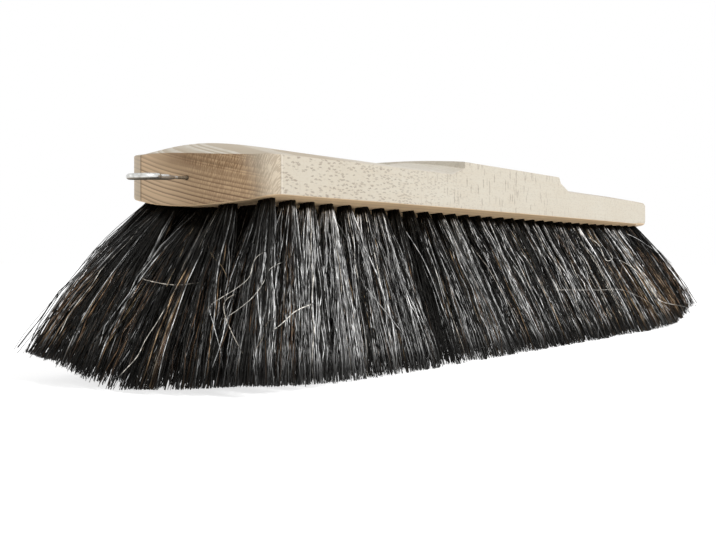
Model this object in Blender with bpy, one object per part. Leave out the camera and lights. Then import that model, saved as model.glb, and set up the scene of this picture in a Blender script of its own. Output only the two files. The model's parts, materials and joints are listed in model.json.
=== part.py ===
"""Head of a floor brush: a saddle-backed beech block, rows of horsehair and a hanging eye.

Lengths are in metres. +X runs along the block, away from the eye, and +Z is up.
The bristle tips stand on z = 0, and the origin lies under the middle of the block.
"""
import math

import bmesh
import bpy
from mathutils import Matrix, Vector
from mathutils.geometry import delaunay_2d_cdt

# Clearance between pieces that touch on the real brush
GAP = 0.0003

# Block, seen from above
BLOCK_LENGTH = 0.400
BLOCK_WIDTH = 0.056
SIDE_BOW = 0.001
END_ARC = 0.0058
CORNER_RADIUS = 0.006

# Block, seen from the side: heights are counted from the lower arris of its long sides
SIDE_THICKNESS = 0.0125
CROWN_RISE = 0.0055
CROWN_POWER = 1.6
CROWN_END_POWER = 18.0
CROWN_OVERRUN_RATIO = 1.06
CAMBER_DROP = 0.0033
SADDLE_HEIGHT = 0.0191
SADDLE_CROWN = 0.0012
SADDLE_LENGTH = 0.1094
RISER_HEIGHT = 0.0026
RISER_RUN = 0.0006
COVE_LENGTH = 0.0118

# Handle socket: a slanted blind hole in the saddle
SOCKET_DIAMETER = 0.024
SOCKET_TAPER = 0.001
SOCKET_SLANT = math.radians(20.0)
SOCKET_FLOOR = 0.0085

# Hair rows
ROW_COUNT = 5
ROW_EDGE_MARGIN = 0.009
TUFT_PITCH = 0.0124
TUFT_END_MARGIN = 0.0082
SECTIONS_PER_ROW = 10
STRANDS_PER_TUFT = 3
ROW_LAND = 0.0019
BAR_THICKNESS = 0.0030
BAR_RIM = 0.0005
BAR_END = 0.0042

# Hair: how it leaves the block and where its tips stand
HAIR_DROP = 0.0571
SIDE_SPLAY = 0.0245
END_SIDE_SPLAY_RATIO = 0.78
END_SPLAY = 0.0495
END_SPLAY_POWER = 2.2
END_LIFT = 0.003
CORNER_LIFT = 0.008
LIFT_POWER = 8.0
HAIR_BEND_RATIO = 0.25
TUFT_SPREAD_RATIO_X = 1.75
TUFT_SPREAD_RATIO_Y = 2.9
STRAND_ROOT_RADIUS = 0.0011
STRAND_TIP_RADIUS = 0.0019
STRAND_SIDES = 3
STRAND_LEVELS = (0.5, 1.0)

# Hanging eye, a screw eye of bent wire that lies in a level plane
EYE_DIAMETER = 0.0104
EYE_WIRE = 0.0019
EYE_THREAD = 0.0015
EYE_THREAD_SHOWN = 0.0060
EYE_NECK_LENGTH = 0.0080
EYE_BEND = 0.0030
EYE_MOUTH = math.radians(26.0)
EYE_DEPTH = 0.0120
EYE_POINT = 0.0030
EYE_TIP = 0.000375
EYE_HEIGHT = 0.0058
EYE_SIDES = 10
EYE_STEPS = 24
EYE_BEND_STEPS = 4

# Faceting
ARC_STEPS = 6
SIDE_STEPS = 10
ROUND_STEPS = 32
PILOT_STEPS = 16
COVE_STEPS = 3
THIN_SHARES = (0.25, 0.5, 0.7, 0.82, 0.9, 0.95, 0.98)
ACROSS_SHARES = (0.0, 0.18, 0.36, 0.54, 0.7, 0.85, 0.95)
CUT_MARGIN = 0.002
SAME_POINT = 1e-7

# Values worked out from the sizes above
HALF_LENGTH = BLOCK_LENGTH / 2
CORNER_X = HALF_LENGTH - END_ARC
SIDE_END_X = CORNER_X - CORNER_RADIUS
CORNER_Y = BLOCK_WIDTH / 2 - CORNER_RADIUS
SADDLE_HALF = SADDLE_LENGTH / 2
LAST_TUFT_X = CORNER_X - TUFT_END_MARGIN
OUTER_ROW_Y = BLOCK_WIDTH / 2 - ROW_EDGE_MARGIN
ROW_PITCH = 2 * OUTER_ROW_Y / (ROW_COUNT - 1)
BAR_WIDTH = ROW_PITCH - ROW_LAND - 2 * GAP
TUFT_RADIUS = BAR_WIDTH / 2 - BAR_RIM - STRAND_ROOT_RADIUS
LONG_ROW_STEPS = 2 * round(LAST_TUFT_X / TUFT_PITCH)
TUFT_STEP = 2 * LAST_TUFT_X / LONG_ROW_STEPS
BAR_REACH = LAST_TUFT_X + BAR_END
EYE_RING = (EYE_DIAMETER - EYE_WIRE) / 2
EYE_NECK_X = -HALF_LENGTH - EYE_THREAD_SHOWN
EYE_BEND_X = EYE_NECK_X - EYE_NECK_LENGTH
EYE_CENTRE_X = EYE_BEND_X - math.sqrt(EYE_RING ** 2 + 2 * EYE_RING * EYE_BEND)

BEECH = ("beech", (0.72, 0.60, 0.46), 0.62, 0.0)
HORSEHAIR = ("horsehair", (0.030, 0.028, 0.027), 0.45, 0.0)
ZINC = ("zinc_steel", (0.66, 0.67, 0.68), 0.32, 1.0)


def clear_scene():
    """Remove whatever the file opened with."""
    for item in list(bpy.data.objects):
        bpy.data.objects.remove(item, do_unlink=True)


def make_material(name, finish):
    """Principled material of one finish, named after the piece that wears it."""
    _, colour, roughness, metallic = finish
    material = bpy.data.materials.new(name + "_" + finish[0])
    material.use_nodes = True
    shader = material.node_tree.nodes["Principled BSDF"]
    shader.inputs["Base Color"].default_value = (*colour, 1.0)
    shader.inputs["Roughness"].default_value = roughness
    shader.inputs["Metallic"].default_value = metallic
    return material


def add_object(name, work, finish):
    """Turn a bmesh into a named object with its own material."""
    bmesh.ops.recalc_face_normals(work, faces=work.faces)
    mesh = bpy.data.meshes.new(name)
    work.to_mesh(mesh)
    work.free()
    mesh.materials.append(make_material(name, finish))
    item = bpy.data.objects.new(name, mesh)
    bpy.context.scene.collection.objects.link(item)
    return item


def add_cutter(name, work):
    """Object that only cuts others, left out of renders."""
    bmesh.ops.recalc_face_normals(work, faces=work.faces)
    mesh = bpy.data.meshes.new(name)
    work.to_mesh(mesh)
    work.free()
    item = bpy.data.objects.new(name, mesh)
    item.hide_render = True
    item.display_type = "WIRE"
    bpy.context.scene.collection.objects.link(item)
    return item


def cut(item, cutter, operation):
    """Boolean modifier that joins a cutter to an object."""
    modifier = item.modifiers.new(cutter.name, "BOOLEAN")
    modifier.operation = operation
    modifier.solver = "EXACT"
    modifier.object = cutter


def shade_round(item, angle=math.radians(35.0)):
    """Smooth shading that keeps the real edges sharp."""
    item.data.shade_smooth()
    item.data.set_sharp_from_angle(angle=angle)


def half_width(x):
    """Distance from the centre line to the bowed long side."""
    along = min(1.0, abs(x) / SIDE_END_X)
    return BLOCK_WIDTH / 2 + SIDE_BOW * (1.0 - along ** 2)


def end_reach(y):
    """Distance from the middle to the arched end at one place across."""
    return HALF_LENGTH - END_ARC * min(1.0, abs(y) / CORNER_Y) ** 2


def under_height(y):
    """Height of the cambered underside, lowest in the middle."""
    across = abs(y) / (BLOCK_WIDTH / 2)
    return HAIR_DROP - CAMBER_DROP * (1.0 - across ** 2)


def thin_end_height(x, y):
    """Height of the crowned top that falls to a level arris all round."""
    across = abs(y) / half_width(x)
    along = min(CROWN_OVERRUN_RATIO, abs(x) / end_reach(y))
    crown = (1.0 - across ** CROWN_POWER) * (1.0 - along ** CROWN_END_POWER)
    return HAIR_DROP + SIDE_THICKNESS + CROWN_RISE * crown


def top_height(x, y):
    """Height of the whole top: saddle, short riser, sloping cove and thin ends."""
    across = abs(y) / half_width(x)
    saddle = HAIR_DROP + SADDLE_HEIGHT + SADDLE_CROWN * (1.0 - across ** 2)
    if abs(x) <= SADDLE_HALF:
        return saddle
    thin = thin_end_height(x, y)
    foot = saddle - RISER_HEIGHT
    down = (abs(x) - SADDLE_HALF - RISER_RUN) / COVE_LENGTH
    slope = max(0.0, 1.0 - down)
    return thin + max(0.0, foot - thin) * slope


def mirrored(values):
    """Ascending list of the values and their negatives."""
    return sorted({-v for v in values} | set(values))


def top_stations():
    """Places along and across the block where its top is sampled."""
    cove = [SADDLE_HALF + RISER_RUN + COVE_LENGTH * step / COVE_STEPS for step in range(COVE_STEPS + 1)]
    start = cove[-1]
    thin = [start + (HALF_LENGTH - start) * share for share in THIN_SHARES]
    along = [0.0, SADDLE_HALF * 0.5, SADDLE_HALF] + cove + thin + [HALF_LENGTH + CUT_MARGIN]
    half = BLOCK_WIDTH / 2
    across = [half * share for share in ACROSS_SHARES]
    across.append(half + SIDE_BOW + CUT_MARGIN)
    return mirrored(along), mirrored(across)


def profile_slab():
    """Slab with the block's top and underside, a little too long and too wide."""
    along, across = top_stations()
    work = bmesh.new()
    top = [[work.verts.new((x, y, top_height(x, y))) for y in across] for x in along]
    low = [[work.verts.new((x, y, under_height(y))) for y in across] for x in (along[0], along[-1])]
    for i in range(len(along) - 1):
        for j in range(len(across) - 1):
            work.faces.new((top[i][j], top[i + 1][j], top[i + 1][j + 1], top[i][j + 1]))
    for j in range(len(across) - 1):
        work.faces.new((low[0][j], low[0][j + 1], low[1][j + 1], low[1][j]))
    for edge, lower in ((top[0], low[0]), (top[-1], low[-1])):
        work.faces.new(edge + lower[::-1])
    for j in (0, -1):
        work.faces.new([column[j] for column in top] + [low[1][j], low[0][j]])
    bmesh.ops.triangulate(work, faces=work.faces)
    return work


def block_outline():
    """Closed outline of the block from above, counter-clockwise from the +X end."""
    end = []
    for step in range(ARC_STEPS + 1):
        y = CORNER_Y * step / ARC_STEPS
        end.append((end_reach(y), y))
    for step in range(1, ARC_STEPS + 1):
        turn = math.pi / 2 * step / ARC_STEPS
        x = SIDE_END_X + CORNER_RADIUS * math.cos(turn)
        y = CORNER_Y + CORNER_RADIUS * math.sin(turn)
        end.append((x, y))
    for step in range(1, SIDE_STEPS // 2 + 1):
        x = SIDE_END_X * (1.0 - 2.0 * step / SIDE_STEPS)
        end.append((x, half_width(x)))
    quarter = end
    left = [(-x, y) for x, y in quarter[:-1][::-1]]
    upper = quarter + left
    lower = [(x, -y) for x, y in upper[1:-1][::-1]]
    return upper + lower


def prism(outline, low, high):
    """Upright prism over an outline."""
    work = bmesh.new()
    base = [work.verts.new((x, y, low)) for x, y in outline]
    roof = [work.verts.new((x, y, high)) for x, y in outline]
    work.faces.new(base[::-1])
    work.faces.new(roof)
    count = len(outline)
    for i in range(count):
        j = (i + 1) % count
        work.faces.new((base[i], base[j], roof[j], roof[i]))
    return work


def add_box(work, low, high):
    """Add one box between two corners to a bmesh."""
    centre = [(a + b) / 2 for a, b in zip(low, high)]
    size = [b - a for a, b in zip(low, high)]
    place = Matrix.Translation(centre) @ Matrix.Diagonal((*size, 1.0))
    bmesh.ops.create_cube(work, size=1.0, matrix=place)


def row_places():
    """Centre line of each hair row across the block."""
    return [-OUTER_ROW_Y + ROW_PITCH * row for row in range(ROW_COUNT)]


def row_tufts(row):
    """Places of the tufts along one row; every second row sits half a pitch over."""
    count = LONG_ROW_STEPS + 1 - row % 2
    return [TUFT_STEP * (i - (count - 1) / 2) for i in range(count)]


def groove_cutter():
    """Straight grooves in the underside that take the hair bars."""
    work = bmesh.new()
    half = BAR_WIDTH / 2 + GAP
    for y in row_places():
        roof = max(under_height(y - BAR_WIDTH / 2), under_height(y + BAR_WIDTH / 2)) + BAR_THICKNESS + GAP
        low = (-BAR_REACH - GAP, y - half, HAIR_DROP - CAMBER_DROP - CUT_MARGIN)
        add_box(work, low, (BAR_REACH + GAP, y + half, roof))
    return add_cutter("row_grooves", work)


def socket_cutter():
    """Slightly tapered round cutter for the handle, slanted across the block."""
    depth = (SADDLE_HEIGHT + SADDLE_CROWN - SOCKET_FLOOR) / math.cos(SOCKET_SLANT)
    reach = depth + SOCKET_DIAMETER
    work = bmesh.new()
    bmesh.ops.create_cone(
        work,
        cap_ends=True,
        segments=ROUND_STEPS,
        radius1=SOCKET_DIAMETER / 2 - SOCKET_TAPER,
        radius2=SOCKET_DIAMETER / 2 - SOCKET_TAPER + SOCKET_TAPER * reach / depth,
        depth=reach,
    )
    bmesh.ops.translate(work, verts=work.verts, vec=(0.0, 0.0, (reach - depth) / 2))
    bmesh.ops.rotate(work, verts=work.verts, matrix=Matrix.Rotation(SOCKET_SLANT, 3, "X"))
    middle = HAIR_DROP + (SADDLE_HEIGHT + SADDLE_CROWN + SOCKET_FLOOR) / 2
    bmesh.ops.translate(work, verts=work.verts, vec=(0.0, 0.0, middle))
    return add_cutter("handle_socket", work)


def pilot_cutter():
    """Level hole in the end face for the screw eye."""
    work = bmesh.new()
    length = EYE_DEPTH + GAP + CUT_MARGIN
    bmesh.ops.create_cone(
        work,
        cap_ends=True,
        segments=PILOT_STEPS,
        radius1=EYE_THREAD / 2 + GAP,
        radius2=EYE_THREAD / 2 + GAP,
        depth=length,
    )
    bmesh.ops.rotate(work, verts=work.verts, matrix=Matrix.Rotation(math.pi / 2, 3, "Y"))
    centre = -HALF_LENGTH + EYE_DEPTH + GAP - length / 2
    bmesh.ops.translate(work, verts=work.verts, vec=(centre, 0.0, HAIR_DROP + EYE_HEIGHT))
    return add_cutter("eye_pilot", work)


def make_block():
    """Beech block: profiled slab trimmed to its outline, then grooved and drilled."""
    block = add_object("wood_block", profile_slab(), BEECH)
    shade_round(block)
    low = HAIR_DROP - CAMBER_DROP - CUT_MARGIN
    high = HAIR_DROP + SADDLE_HEIGHT + SADDLE_CROWN + CUT_MARGIN
    cut(block, add_cutter("block_outline", prism(block_outline(), low, high)), "INTERSECT")
    cut(block, groove_cutter(), "DIFFERENCE")
    cut(block, socket_cutter(), "DIFFERENCE")
    cut(block, pilot_cutter(), "DIFFERENCE")
    return block


def eye_path():
    """Centre line and radius of the eye's wire, from its point in the wood round the ring."""
    tip_x = -HALF_LENGTH + EYE_DEPTH
    thread = EYE_THREAD / 2
    wire = EYE_WIRE / 2
    path = [(tip_x, 0.0, EYE_TIP / 2), (tip_x - EYE_POINT, 0.0, thread)]
    path.append((EYE_NECK_X + EYE_WIRE / 2, 0.0, thread))
    path.append((EYE_NECK_X, 0.0, wire))
    path.append((EYE_BEND_X, 0.0, wire))
    joint = math.asin(EYE_BEND / (EYE_RING + EYE_BEND))
    turn = math.pi / 2 - joint
    for step in range(1, EYE_BEND_STEPS):
        angle = turn * step / EYE_BEND_STEPS
        x = EYE_BEND_X - EYE_BEND * math.sin(angle)
        path.append((x, EYE_BEND * (1.0 - math.cos(angle)), wire))
    sweep = 2 * math.pi - joint - EYE_MOUTH
    for step in range(EYE_STEPS + 1):
        angle = joint + sweep * step / EYE_STEPS
        path.append((EYE_CENTRE_X + EYE_RING * math.cos(angle), EYE_RING * math.sin(angle), wire))
    return path


def make_eye():
    """Screw eye: one wire swept along its level path."""
    path = eye_path()
    work = bmesh.new()
    rings = []
    for i, (x, y, radius) in enumerate(path):
        before = Vector(path[max(0, i - 1)][:2])
        after = Vector(path[min(len(path) - 1, i + 1)][:2])
        ahead = (after - before).normalized()
        side = Vector((-ahead.y, ahead.x, 0.0))
        ring = []
        for k in range(EYE_SIDES):
            angle = 2 * math.pi * k / EYE_SIDES
            spot = Vector((x, y, HAIR_DROP + EYE_HEIGHT))
            spot += side * (radius * math.cos(angle))
            spot.z += radius * math.sin(angle)
            ring.append(work.verts.new(spot))
        rings.append(ring)
    for near, far in zip(rings, rings[1:]):
        for k in range(EYE_SIDES):
            m = (k + 1) % EYE_SIDES
            work.faces.new((near[k], near[m], far[m], far[k]))
    work.faces.new(rings[0][::-1])
    work.faces.new(rings[-1])
    eye = add_object("hanging_eye", work, ZINC)
    shade_round(eye)
    return eye


def tip_place(x, y):
    """Where hair from one spot of the underside ends, splayed outwards and trimmed."""
    along = min(1.0, abs(x) / LAST_TUFT_X)
    across = abs(y) / OUTER_ROW_Y
    side = SIDE_SPLAY * (1.0 - (1.0 - END_SIDE_SPLAY_RATIO) * along ** 4)
    tip_x = x + math.copysign(END_SPLAY * along ** END_SPLAY_POWER, x)
    tip_y = y + y / OUTER_ROW_Y * side
    tip_z = (END_LIFT + CORNER_LIFT * min(1.0, across) ** 2) * along ** LIFT_POWER
    return Vector((tip_x, tip_y, tip_z))


def strand_rings(x, y, roll):
    """Cross-sections of one strand from the underside to its tip, each level."""
    offset = Vector((math.cos(roll), math.sin(roll), 0.0)) * TUFT_RADIUS
    root = Vector((x, y, 0.0)) + offset
    root.z = under_height(root.y)
    tip = tip_place(x, y)
    tip.x += offset.x * TUFT_SPREAD_RATIO_X
    tip.y += offset.y * TUFT_SPREAD_RATIO_Y
    rings = []
    for level in (0.0, *STRAND_LEVELS):
        reach = level * (1.0 + HAIR_BEND_RATIO * (1.0 - level))
        centre = Vector((
            root.x + (tip.x - root.x) * reach,
            root.y + (tip.y - root.y) * reach,
            root.z + (tip.z - root.z) * level,
        ))
        radius = STRAND_ROOT_RADIUS + (STRAND_TIP_RADIUS - STRAND_ROOT_RADIUS) * level
        rings.append(ring_points(centre, radius, roll))
    return rings


def ring_points(centre, radius, roll):
    """Level polygon round a strand's centre."""
    points = []
    for k in range(STRAND_SIDES):
        angle = roll + 2 * math.pi * k / STRAND_SIDES
        points.append(centre + Vector((math.cos(angle), math.sin(angle), 0.0)) * radius)
    return points


def tuft_rolls(y):
    """Directions of a tuft's strands from its middle, the first one outwards."""
    first = math.copysign(math.pi / 2, y)
    return [first + 2 * math.pi * k / STRANDS_PER_TUFT for k in range(STRANDS_PER_TUFT)]


def add_strand(work, roots, rings):
    """Skin one strand on to its root polygon."""
    last = roots
    for ring in rings[1:]:
        current = [work.verts.new(point) for point in ring]
        for k in range(STRAND_SIDES):
            m = (k + 1) % STRAND_SIDES
            work.faces.new((last[k], last[m], current[m], current[k]))
        last = current
    work.faces.new(last)


def make_bar(name, y, tufts, low_x, high_x):
    """One bar of hair: a straight backing slice with its strands grown out of it."""
    half = BAR_WIDTH / 2
    roof = max(under_height(y - half), under_height(y + half)) + BAR_THICKNESS
    corners = [(low_x, y - half), (high_x, y - half), (high_x, y + half), (low_x, y + half)]
    flat = [Vector(corner) for corner in corners]
    loops = [[0, 1, 2, 3]]
    strands = []
    for x in tufts:
        for roll in tuft_rolls(y):
            rings = strand_rings(x, y, roll)
            start = len(flat)
            flat.extend(point.to_2d() for point in rings[0])
            loops.append(list(range(start, start + STRAND_SIDES)))
            strands.append(rings)
    edges = [(loop[k], loop[(k + 1) % len(loop)]) for loop in loops for k in range(len(loop))]
    _, _, faces, *_ = delaunay_2d_cdt(flat, edges, [], 1, SAME_POINT)
    roots = {frozenset(loop) for loop in loops[1:]}
    work = bmesh.new()
    low = [work.verts.new((spot.x, spot.y, under_on_bar(spot.y, y))) for spot in flat]
    for face in faces:
        if frozenset(face) not in roots:
            work.faces.new([low[k] for k in face])
    top = [work.verts.new((*corner, roof)) for corner in corners]
    work.faces.new(top)
    for k in range(4):
        m = (k + 1) % 4
        work.faces.new((low[k], low[m], top[m], top[k]))
    for loop, rings in zip(loops[1:], strands):
        add_strand(work, [low[k] for k in loop], rings)
    return add_object(name, work, HORSEHAIR)


def under_on_bar(place, y):
    """Height of a bar's flat underside, a chord of the camber, at one place across."""
    half = BAR_WIDTH / 2
    near, far = under_height(y - half), under_height(y + half)
    return near + (far - near) * (place - y + half) / BAR_WIDTH


def make_row(row, y):
    """Bars of one row, end to end in its groove with a gap between them."""
    tufts = row_tufts(row)
    cuts = [round(len(tufts) * part / SECTIONS_PER_ROW) for part in range(SECTIONS_PER_ROW + 1)]
    for part, (first, last) in enumerate(zip(cuts, cuts[1:])):
        low_x = -BAR_REACH if part == 0 else (tufts[first - 1] + tufts[first]) / 2 + GAP / 2
        high_x = BAR_REACH if last == len(tufts) else (tufts[last - 1] + tufts[last]) / 2 - GAP / 2
        name = "hair_row_{}_bar_{:02d}".format(row + 1, part + 1)
        make_bar(name, y, tufts[first:last], low_x, high_x)


def build():
    """Make every piece of the brush head."""
    clear_scene()
    make_block()
    make_eye()
    for row, y in enumerate(row_places()):
        make_row(row, y)


build()
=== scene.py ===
"""Looks of a saddle-backed beech broom head with splayed black horsehair and a screw eye.

Every length is in metres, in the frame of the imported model: +X runs along the block away
from the eye, +Z is up, and the hair tips stand on the floor at z = 0.
"""
from __future__ import annotations

import json
import logging
import math
from collections.abc import Callable
from dataclasses import dataclass, field
from enum import Enum

import bmesh
import bpy
import numpy as np
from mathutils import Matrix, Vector
from mathutils.geometry import delaunay_2d_cdt

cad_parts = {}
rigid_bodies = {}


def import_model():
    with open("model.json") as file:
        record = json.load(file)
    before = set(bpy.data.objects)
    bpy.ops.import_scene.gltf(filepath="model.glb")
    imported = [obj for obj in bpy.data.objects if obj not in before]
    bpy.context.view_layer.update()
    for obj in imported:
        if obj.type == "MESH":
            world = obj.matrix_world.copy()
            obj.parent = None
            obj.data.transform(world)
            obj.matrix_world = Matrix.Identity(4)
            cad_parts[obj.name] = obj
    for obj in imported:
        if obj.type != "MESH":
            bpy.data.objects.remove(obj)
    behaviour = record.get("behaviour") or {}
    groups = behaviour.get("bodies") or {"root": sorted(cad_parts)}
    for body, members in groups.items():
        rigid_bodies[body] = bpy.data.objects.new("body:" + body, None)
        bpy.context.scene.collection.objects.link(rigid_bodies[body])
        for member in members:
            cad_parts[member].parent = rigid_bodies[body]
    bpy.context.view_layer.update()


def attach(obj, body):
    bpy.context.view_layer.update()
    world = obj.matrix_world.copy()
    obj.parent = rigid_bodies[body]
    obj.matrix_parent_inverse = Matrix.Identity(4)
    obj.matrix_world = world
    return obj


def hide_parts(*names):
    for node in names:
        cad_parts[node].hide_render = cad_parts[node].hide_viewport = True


LOG = logging.getLogger("broom_head")
BODY = "root"
BAKE_MAP = "OFBake"
FULL_TURN = 2 * math.pi
QUARTER_TURN = math.pi / 2
SAME_PLACE = 2e-6
SAME_SPOT = 0.001
BLOCK_SMOOTH = math.radians(38.0)
WIRE_SMOOTH = math.radians(60.0)

Array = np.ndarray
BMesh = bmesh.types.BMesh
Colour = tuple[float, float, float]
Place = tuple[float, float, float]
Pair = tuple[float, float]


class Slot(Enum):
    """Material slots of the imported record."""

    WOOD = "beech"
    HAIR = "horsehair"
    METAL = "zinc_steel"


class Wire:
    """A shader value that plain arithmetic extends with Math nodes."""

    def __init__(self, graph: Graph, socket: bpy.types.NodeSocket) -> None:
        """Hold a node's output and its graph."""
        self.graph = graph
        self.socket = socket

    def __add__(self, other: Term) -> Wire:
        """Sum."""
        return self.graph.maths("ADD", self, other)

    def __sub__(self, other: Term) -> Wire:
        """Difference."""
        return self.graph.maths("SUBTRACT", self, other)

    def __rsub__(self, other: float) -> Wire:
        """Difference from a number."""
        return self.graph.maths("SUBTRACT", other, self)

    def __mul__(self, other: Term) -> Wire:
        """Product."""
        return self.graph.maths("MULTIPLY", self, other)

    def __truediv__(self, other: Term) -> Wire:
        """Quotient."""
        return self.graph.maths("DIVIDE", self, other)

    def __abs__(self) -> Wire:
        """Size without its sign."""
        return self.graph.maths("ABSOLUTE", self)

    def at_most(self, other: Term) -> Wire:
        """The smaller of two values."""
        return self.graph.maths("MINIMUM", self, other)

    def at_least(self, other: Term) -> Wire:
        """The larger of two values."""
        return self.graph.maths("MAXIMUM", self, other)

    def ease(self, low: Term, high: Term) -> Wire:
        """Smooth step from 0 at low to 1 at high."""
        feeds = {"Value": self, "From Min": low, "From Max": high}
        return self.graph.node("MapRange", feeds, interpolation_type="SMOOTHSTEP")["Result"]

    def line(self, gain: float, base: float) -> Wire:
        """The value times a gain, plus a base."""
        return self * gain + base

    def scaled(self, x: float, y: float, z: float) -> Wire:
        """A position stretched along each axis."""
        return self.graph.node("VectorMath", {0: self, 1: (x, y, z)}, operation="MULTIPLY")[0]

    def parts(self) -> tuple[Wire, Wire, Wire]:
        """X, Y and Z of a vector."""
        node = self.graph.node("SeparateXYZ", {0: self})
        return node["X"], node["Y"], node["Z"]


Term = Wire | float


class Made:
    """A new node, whose outputs are read by name or place."""

    def __init__(self, graph: Graph, node: bpy.types.Node) -> None:
        """Hold a node and its graph."""
        self.graph = graph
        self.node = node

    def __getitem__(self, output: str | int) -> Wire:
        """One output of the node."""
        return Wire(self.graph, self.node.outputs[output])


class Graph:
    """Short ways to add nodes to one shader tree."""

    def __init__(self, tree: bpy.types.NodeTree) -> None:
        """Work on a tree."""
        self.tree = tree

    def feed(self, target: bpy.types.NodeSocket, value: object) -> None:
        """Link an input's source, or set its own value.

        Args:
            target: The input to fill.
            value: A wire, a number or a tuple of numbers.
        """
        if isinstance(value, Wire):
            self.tree.links.new(value.socket, target)
        elif isinstance(value, tuple) and target.type == "RGBA":
            target.default_value = (*value[:3], 1.0)
        else:
            target.default_value = value

    def node(self, kind: str, feeds: dict | None = None, **settings: object) -> Made:
        """Add a node.

        Args:
            kind: Its type name without "ShaderNode".
            feeds: Source or value of its inputs, by name or place.
            settings: Its properties.

        Returns:
            The node.
        """
        node = self.tree.nodes.new("ShaderNode" + kind)
        for name, value in settings.items():
            setattr(node, name, value)
        for name, value in (feeds or {}).items():
            self.feed(node.inputs[name], value)
        return Made(self, node)

    def maths(self, operation: str, *terms: Term) -> Wire:
        """Result of a Math node."""
        return self.node("Math", dict(enumerate(terms)), operation=operation)[0]

    def mix(self, share: Term, first: object, second: object, mode: str = "MIX") -> Wire:
        """Blend two colours by a share of the second."""
        feeds = {0: share, 6: first, 7: second}
        return self.node("Mix", feeds, data_type="RGBA", blend_type=mode)[2]

    def noise(
        self, place: Wire, scale: float = 1.0, detail: float = 2.0, output: str = "Fac"
    ) -> Wire:
        """Value or colour of a noise texture."""
        feeds = {"Vector": place, "Scale": scale, "Detail": detail}
        return self.node("TexNoise", feeds, noise_dimensions="3D")[output]


class EffectGroup(Graph):
    """A shader node group with named inputs and outputs, placed by several finishes."""

    def __init__(self, name: str, **inputs: float | None) -> None:
        """Make the group with its inputs.

        Args:
            name: The group's name.
            inputs: Default of each input, or None for a vector; "_" stands for a space.
        """
        super().__init__(bpy.data.node_groups.new(name, "ShaderNodeTree"))
        for title, value in inputs.items():
            kind = "NodeSocketVector" if value is None else "NodeSocketFloat"
            made = self.tree.interface.new_socket(
                name=title.replace("_", " "), in_out="INPUT", socket_type=kind)
            if value is not None:
                made.default_value = value
        self.given = Made(self, self.tree.nodes.new("NodeGroupInput"))

    def put_out(self, **values: Wire) -> None:
        """Make the outputs and feed them.

        Args:
            values: Source of each output.
        """
        for title in values:
            self.tree.interface.new_socket(
                name=title, in_out="OUTPUT", socket_type="NodeSocketFloat")
        leave = self.tree.nodes.new("NodeGroupOutput")
        for title, value in values.items():
            self.feed(leave.inputs[title], value)


class Effects:
    """Shared effects: growth rings, ray flecks and cloudy variation."""

    WOBBLE: Place = (4.0, 38.0, 38.0)
    YEARS_PITCH: float = 0.42
    YEARS_SIZE: float = 2.4
    LATE_RISE: Pair = (0.30, 0.90)
    LATE_FALL: Pair = (1.0, 0.93)
    FLECK_CORE: float = 0.55
    FLECK_STRENGTH: Pair = (0.7, 0.3)

    def __init__(self) -> None:
        """Build each group once."""
        self.rings = self._growth_rings()
        self.flecks = self._ray_flecks()
        self.cloud = self._cloud()

    def _growth_rings(self) -> EffectGroup:
        """Rings round a far pith line along X: a late-wood line, and a tone for each ring.

        Returns:
            The group.
        """
        group = EffectGroup(
            "growth_rings", Place=None, Pith_Y=0.0, Pith_Z=0.0, Pitch=0.002, Waver=0.5)
        place = group.given["Place"]
        _, y, z = place.parts()
        across, up = y - group.given["Pith Y"], z - group.given["Pith Z"]
        reach = group.maths("SQRT", across * across + up * up)
        turn = reach / group.given["Pitch"]
        feeds = {"W": turn * self.YEARS_PITCH, "Scale": 1.0, "Detail": 1.0}
        years = group.node("TexNoise", feeds, noise_dimensions="1D")["Fac"]
        wobble = group.noise(place.scaled(*self.WOBBLE)) * group.given["Waver"]
        phase = turn + (years * self.YEARS_SIZE + wobble)
        part = group.maths("FRACT", phase)
        ring = group.node(
            "TexWhiteNoise", {"W": group.maths("FLOOR", phase)}, noise_dimensions="1D")
        late = part.ease(*self.LATE_RISE) * part.ease(*self.LATE_FALL)
        group.put_out(Late=late, Tone=ring["Value"])
        return group

    def _ray_flecks(self) -> EffectGroup:
        """Short dark marks of the rays, as stretched cells of which only some are filled.

        Returns:
            The group.
        """
        group = EffectGroup("ray_flecks", Place=None, Width=0.18, Share=0.4)
        feeds = {"Vector": group.given["Place"], "Scale": 1.0}
        cells = group.node("TexVoronoi", feeds, voronoi_dimensions="3D", feature="F1")
        width = group.given["Width"]
        near = 1.0 - cells["Distance"].ease(width * self.FLECK_CORE, width)
        drawn = group.node("SeparateColor", {0: cells["Color"]})
        chosen = group.maths("LESS_THAN", drawn[0], group.given["Share"])
        group.put_out(Mask=near * chosen * drawn[1].line(*self.FLECK_STRENGTH))
        return group

    def _cloud(self) -> EffectGroup:
        """Soft uneven variation between 0 and 1.

        Returns:
            The group.
        """
        group = EffectGroup("cloudy_variation", Place=None, Scale=40.0, Contrast=1.0)
        noise = group.noise(group.given["Place"], group.given["Scale"], 4.0)
        spread = (noise - 0.5) * (group.given["Contrast"] * 2.0) + 0.5
        group.put_out(Value=spread.at_least(0.0).at_most(1.0))
        return group


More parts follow.
